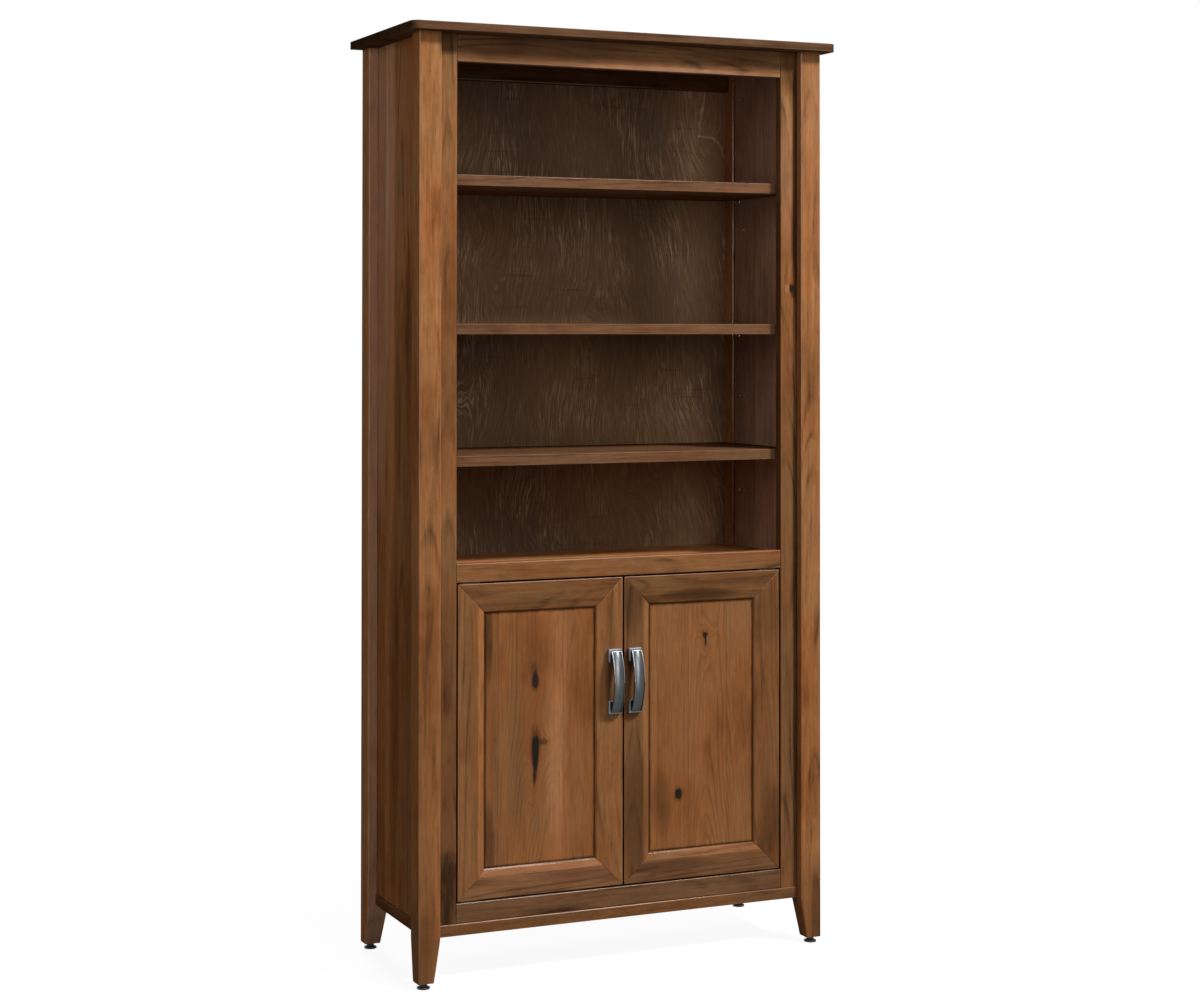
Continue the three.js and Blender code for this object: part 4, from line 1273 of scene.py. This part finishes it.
class BOOKCASE_OT_catch(bpy.types.Operator):
    """Dress the magnetic catch and add its pole plates, and the strikes on the doors"""

    bl_idname = "bookcase.catch"
    bl_label = "Magnetic Catch"

    case_ease, pole_ease, strike_ease = 0.8 * MM, 0.2 * MM, 0.35 * MM
    pole_span, pole_thickness, pole_inset = (3 * MM, 23 * MM), 2 * MM, 2.2 * MM
    pole_proud, pole_depth = 0.5 * MM, 3 * MM
    strike_span, strike_drops, strike_thickness = (4 * MM, 24 * MM), (12 * MM, 1 * MM), 1.2 * MM
    strike_screw = {"radius": 2.6 * MM, "height": 0.25 * MM, "sunk": 0.8 * MM}

    def execute(self, context):
        node = "magnetic_catch"
        dress_metal(node, self.case_ease)
        low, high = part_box(node)
        front, rear = low.y - self.pole_proud, low.y + self.pole_depth
        poles = []
        for sign in SIDES.values():
            inner, outer = sorted(sign * run for run in self.pole_span)
            for bottom in (low.z + self.pole_inset, high.z - self.pole_inset - self.pole_thickness):
                poles.append(box_of((inner, front, bottom), (outer, rear, bottom + self.pole_thickness)))
        for pole in poles:
            round_edges(pole, pole.edges[:], self.pole_ease, 2)
        add_hardware("catch_poles", poles, BODY_OF[node])
        for side, sign in SIDES.items():
            self.add_strike(side, sign)
        return {"FINISHED"}

    def add_strike(self, side, sign):
        """A plate on the door's inner face, held by one screw."""
        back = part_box(f"{side}_door_left_stile")[1].y
        door_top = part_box(f"{side}_door_top_rail")[1].z
        inner, outer = sorted(sign * run for run in self.strike_span)
        bottom, top = (door_top - drop for drop in self.strike_drops)
        plate = box_of((inner, back, bottom), (outer, back + self.strike_thickness, top))
        round_edges(plate, plate.edges[:], self.strike_ease, 2)
        head = ((inner + outer) / 2, back + self.strike_thickness, (bottom + top) / 2)
        screw = screw_head(head, (0, 1, 0), **self.strike_screw)
        add_hardware(f"{side}_door_strike", [plate, screw], BODY_OF[f"{side}_door_top_rail"])


# Stage

CAMERA_PLACE = Vector((-1.90426, -4.28429, 1.24756))
CAMERA_YAW = 0.4208001
CAMERA_PITCH = 0.0124021
CAMERA_ROLL = 0.0006921
IMAGE_WIDTH = 1200
IMAGE_HEIGHT = 1000
FOCAL_PIXELS = 2309.964
HORIZON_ROW = 300.295
SENSOR_WIDTH = 36.0
WHITE = (1.0, 1.0, 1.0, 1.0)
FLOOR_GREY = (0.24, 0.24, 0.24, 1.0)
FLOOR_REACH = 12.0


class BOOKCASE_OT_stage(bpy.types.Operator):
    """Set up the camera, the lights and the floor"""

    bl_idname = "bookcase.stage"
    bl_label = "Stage"

    def execute(self, context):
        self.add_camera(context)
        self.add_lights(context)
        self.add_floor(context)
        context.scene.view_settings.view_transform = "Standard"
        return {"FINISHED"}

    def add_camera(self, context):
        lens = bpy.data.cameras.new("photo_camera")
        lens.sensor_fit = "HORIZONTAL"
        lens.sensor_width = SENSOR_WIDTH
        lens.lens = FOCAL_PIXELS / IMAGE_WIDTH * SENSOR_WIDTH
        lens.shift_y = (HORIZON_ROW - IMAGE_HEIGHT / 2) / IMAGE_WIDTH
        camera = bpy.data.objects.new("photo_camera", lens)
        context.scene.collection.objects.link(camera)
        level = math.cos(CAMERA_PITCH)
        ahead, aside = math.cos(CAMERA_YAW), math.sin(CAMERA_YAW)
        forward = Vector((aside * level, ahead * level, math.sin(CAMERA_PITCH)))
        right = Vector((ahead, -aside, 0.0))
        up = right.cross(forward)
        turn = Matrix((right, up, -forward)).transposed().to_4x4()
        roll = Matrix.Rotation(CAMERA_ROLL, 4, "Z")
        camera.matrix_world = Matrix.Translation(CAMERA_PLACE) @ turn @ roll
        context.scene.camera = camera

    def add_lights(self, context):
        stage = context.scene.bookcase_stage
        key_size = (stage.key_size, stage.key_size)
        self.add_softbox("key_light", (2.72, -4.15, 5.45), (0, 0, 1.1), stage.key_power, key_size)
        self.add_softbox("front_fill", (0.4, -4.9, 2.6), (0, 0, 0.9), stage.fill_power, (1.3, 2.6))
        self.add_softbox("side_strip", (-3.3, -1.7, 2.0), (0, 0, 1.2), stage.side_power, (0.35, 2.0))
        self.add_softbox("rear_fill", (0.2, 4.6, 3.4), (0, 0, 0.9), stage.rear_power, (1.6, 1.6))
        self.add_softbox("top_light", (1.1, -0.6, 3.7), (0.1, -0.1, 1.0), stage.top_power, (1.0, 1.0))
        world = bpy.data.worlds.new("studio")
        context.scene.world = world
        finish = Finish("studio", world)
        sky = finish.node("Background", sockets={"Color": WHITE, "Strength": stage.sky})
        white = finish.node("Background", sockets={"Color": WHITE})
        mix = finish.node("MixShader", sockets={0: finish.seen(), 1: sky, 2: white})
        finish.node("OutputWorld", sockets={"Surface": mix})

    def add_softbox(self, name, place, aim, power, size):
        """A rectangular lamp of a width and a height, turned to what it is aimed at."""
        light = bpy.data.lights.new(name, "AREA")
        light.energy = power
        light.shape = "RECTANGLE"
        light.size, light.size_y = size
        lamp = bpy.data.objects.new(name, light)
        bpy.context.scene.collection.objects.link(lamp)
        away = Vector(place) - Vector(aim)
        lamp.matrix_world = Matrix.Translation(place) @ away.to_track_quat("Z", "Y").to_matrix().to_4x4()

    def add_floor(self, context):
        """A floor that is white to the eye, save in the object's shadow, and dull grey to the light."""
        stage = context.scene.bookcase_stage
        finish = Finish("white_floor")
        x, y, z = finish.coordinates()
        away = squares(x, y).root().step(stage.shadow_reach, 2 * stage.shadow_reach)
        glow = finish.node("Emission", sockets={"Color": finish.blend(away, stage.glow, WHITE[:3])})
        pale = finish.node("BsdfDiffuse", sockets={"Color": colour_socket(stage.floor)})
        seen = finish.node("AddShader", sockets={0: glow, 1: pale})
        dull = finish.node("BsdfDiffuse", sockets={"Color": FLOOR_GREY})
        mix = finish.node("MixShader", sockets={0: finish.seen(), 1: dull, 2: seen})
        finish.node("OutputMaterial", sockets={"Surface": mix})
        shape = bmesh.new()
        bmesh.ops.create_grid(shape, x_segments=1, y_segments=1, size=FLOOR_REACH)
        mesh = bpy.data.meshes.new("floor")
        shape.to_mesh(mesh)
        shape.free()
        mesh.materials.append(finish.owner)
        floor = bpy.data.objects.new("floor", mesh)
        context.scene.collection.objects.link(floor)


# Sidebar

OPERATORS = (
    BOOKCASE_OT_top_board,
    BOOKCASE_OT_posts,
    BOOKCASE_OT_glides,
    BOOKCASE_OT_face_frame,
    BOOKCASE_OT_skirts,
    BOOKCASE_OT_decks,
    BOOKCASE_OT_shelves,
    BOOKCASE_OT_shelf_pins,
    BOOKCASE_OT_sides,
    BOOKCASE_OT_back,
    BOOKCASE_OT_hinges,
    BOOKCASE_OT_doors,
    BOOKCASE_OT_handles,
    BOOKCASE_OT_catch,
    BOOKCASE_OT_stage,
)
SETTINGS = {
    "bookcase_sizes": BookcaseSizes,
    "bookcase_colours": BookcaseColours,
    "bookcase_stage": BookcaseStage,
}


class BOOKCASE_PT_sidebar(bpy.types.Panel):
    """The bookcase's settings and its operators"""

    bl_idname = "BOOKCASE_PT_sidebar"
    bl_label = "Bookcase"
    bl_space_type = "VIEW_3D"
    bl_region_type = "UI"
    bl_category = "Bookcase"

    def draw(self, context):
        for settings, group in SETTINGS.items():
            box = self.layout.box()
            for name in group.__annotations__:
                box.prop(getattr(context.scene, settings), name)
        for operator in OPERATORS:
            self.layout.operator(operator.bl_idname)


CLASSES = (*SETTINGS.values(), *OPERATORS, BOOKCASE_PT_sidebar)


def register():
    for cls in CLASSES:
        bpy.utils.register_class(cls)
    for name, group in SETTINGS.items():
        setattr(bpy.types.Scene, name, PointerProperty(type=group))


def unregister():
    for name in SETTINGS:
        delattr(bpy.types.Scene, name)
    for cls in reversed(CLASSES):
        bpy.utils.unregister_class(cls)


def main():
    register()
    for operator in OPERATORS:
        group, name = operator.bl_idname.split(".")
        getattr(getattr(bpy.ops, group), name)()


if __name__ == "__main__":
    main()
